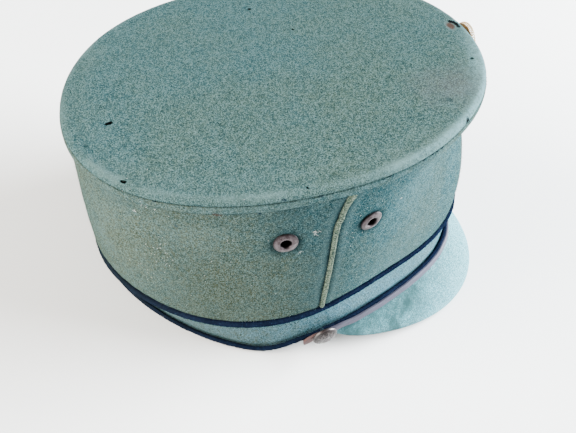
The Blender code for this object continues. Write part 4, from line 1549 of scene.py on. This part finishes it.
# Cool, warm, pale and dark fibres of each felt; the pale colour is also mixed in as painted light and the
# dark colour as painted shade.
WALL_FIBRES = [(0.0120, 0.042, 0.050), (0.050, 0.056, 0.032), (0.088, 0.152, 0.156), DARK]
BAND_FIBRES = [(0.024, 0.086, 0.120), (0.070, 0.086, 0.066), (0.105, 0.222, 0.280), DARK]
PEAK_FIBRES = [(0.078, 0.258, 0.312), (0.088, 0.242, 0.268), (0.285, 0.560, 0.625), (0.025, 0.060, 0.063)]
SEAM_FIBRES = [(0.048, 0.072, 0.052), (0.064, 0.080, 0.054), (0.175, 0.212, 0.168), DARK]

WALL_FELT = stains_and_painted_shadows(felt("felt_wall", *WALL_FIBRES, seed=33.0), WALL_MARKS)
TOP_FELT = stains_and_painted_shadows(rubbed_top(), TOP_MARKS)
BAND_FELT = felt("felt_band", *BAND_FIBRES, seed=47.0)[1]
PEAK_FELT = felt("felt_peak", *PEAK_FIBRES, seed=59.0)[1]
SEAM_FELT = felt("felt_seam", *SEAM_FIBRES, seed=21.0)[1]
NAVY_CORD = navy_cord()
THREAD = thread_look()
LEATHER = leather()
EYELET_METAL_LOOK = eyelet_metal()
BUTTON_METAL = button_metal()
COCKADE_CLOTH = cockade_cloth()
GOLD_WIRE = gold_wire()
# Near-black walls of the moth holes: painted shade for the dark inside the holes.
HOLE_SHADE = plain("hole_shade", (0.003, 0.005, 0.005), (0.006, 0.010, 0.010), 0.95, 0.0005)
LINT_LOOK = plain("lint_fibre", (0.42, 0.46, 0.44), (0.60, 0.60, 0.56), 0.9, 0.002)
NAP_LOOK = plain("nap_fibre", (0.060, 0.095, 0.085), (0.140, 0.190, 0.170), 0.9, 0.003)

front = wall_panel("front_panel", lambda share: -seam_angle(share), seam_angle, 260)
rear = wall_panel("rear_panel", seam_angle, lambda share: 360 - seam_angle(share), 320)
top = crown_top()
strip = band()
brim = peak()
cords()
side_cord("side_piping_left", 1)
side_cord("side_piping_right", -1)
seam_fold()
stitches()
chin_strap()
for side, word in ((-1, "right"), (1, "left")):
    strap_button("strap_button_" + word, side)
    for row in EYELETS:
        eyelet(f"vent_eyelet_{word}_{row['name']}", side * row["angle"], row["height"])
cockade()
lint(surface_tree([front, rear, top, strip]))
nap("nap_crown", [(front, 0.28), (rear, 0.36), (top, 0.36)], NAP_ON_CROWN, 0.9 * MM, NAP_LOOK, "cloth", 5)
nap("nap_foot", [(strip, 0.4), (brim, 0.6)], NAP_ON_FOOT, 0.7 * MM, NAP_LOOK, "band", 6)


# Floor, light and camera


FLOOR_REACH = 4.0
FLOOR_DROP = 0.0002
FLOOR_TONES = [(0.86, 0.86, 0.86), (0.88, 0.88, 0.88)]
MIDDLE = (0, 0, 0.07)
LAMPS = [
    dict(name="front", spot=(0.10, -1.9, 0.82), size=2.1, power=580, colour=(0.91, 0.97, 1.0)),
    dict(name="back", spot=(-0.3, 1.9, 0.8), size=1.5, power=215, colour=(1.0, 0.95, 0.86)),
    dict(name="above", spot=(0.3, 0.1, 2.4), size=1.8, power=12, colour=(1.0, 1.0, 1.0)),
]
SKY_STRENGTH = 0.45
CAMERA_PLACE = (-0.2457, 0.0959, 0.2547)
CAMERA_AZIMUTH = -111.44
CAMERA_RAISED = 42.69
CAMERA_ROLL = 14.25
CAMERA_LENS = 36.95
CAMERA_SENSOR = 36


def floor():
    far = FLOOR_REACH
    corners = [(-far, -far, 0), (far, -far, 0), (far, far, 0), (-far, far, 0)]
    mesh = bpy.data.meshes.new("floor")
    mesh.from_pydata(corners, [], [(0, 1, 2, 3)])
    made = placed("floor", mesh)
    made.location.z = -FLOOR_DROP
    n = Nodes("pale_floor")
    broad = n.noise(0.3, detail=2, seed=1)
    tone = n.mix(n.ramp(broad, 0.3, 0.7), *FLOOR_TONES)
    made.data.materials.append(n.finish(tone, 0.9, specular=0.1))


def lamp(name, spot, size, power, colour):
    light = bpy.data.lights.new(name, "AREA")
    light.shape = "DISK"
    light.size = size
    light.energy = power
    light.color = colour
    made = placed(name, light)
    made.location = spot
    made.rotation_euler = (Vector(MIDDLE) - Vector(spot)).to_track_quat("-Z", "Y").to_euler()


def sky():
    world = bpy.data.worlds.new("studio")
    bpy.context.scene.world = world
    world.use_nodes = True
    background = world.node_tree.nodes["Background"]
    background.inputs["Color"].default_value = (1.0, 1.0, 1.0, 1)
    background.inputs["Strength"].default_value = SKY_STRENGTH


def camera():
    azimuth = math.radians(CAMERA_AZIMUTH)
    raised = math.radians(CAMERA_RAISED)
    roll = math.radians(CAMERA_ROLL)
    level = math.cos(raised)
    back = Vector((math.sin(azimuth) * level, -math.cos(azimuth) * level, math.sin(raised)))
    right = Vector((math.cos(azimuth), math.sin(azimuth), 0))
    up = back.cross(right)
    across = right * math.cos(roll) + up * math.sin(roll)
    upward = up * math.cos(roll) - right * math.sin(roll)
    made = bpy.data.cameras.new("camera")
    made.sensor_width = CAMERA_SENSOR
    made.lens = CAMERA_LENS
    made.clip_start = 0.01
    made.clip_end = 20
    held = placed("camera", made)
    turned = Matrix((across, upward, back)).transposed().to_4x4()
    held.matrix_world = Matrix.Translation(CAMERA_PLACE) @ turned
    bpy.context.scene.camera = held


floor()
for row in LAMPS:
    lamp(**row)
sky()
camera()
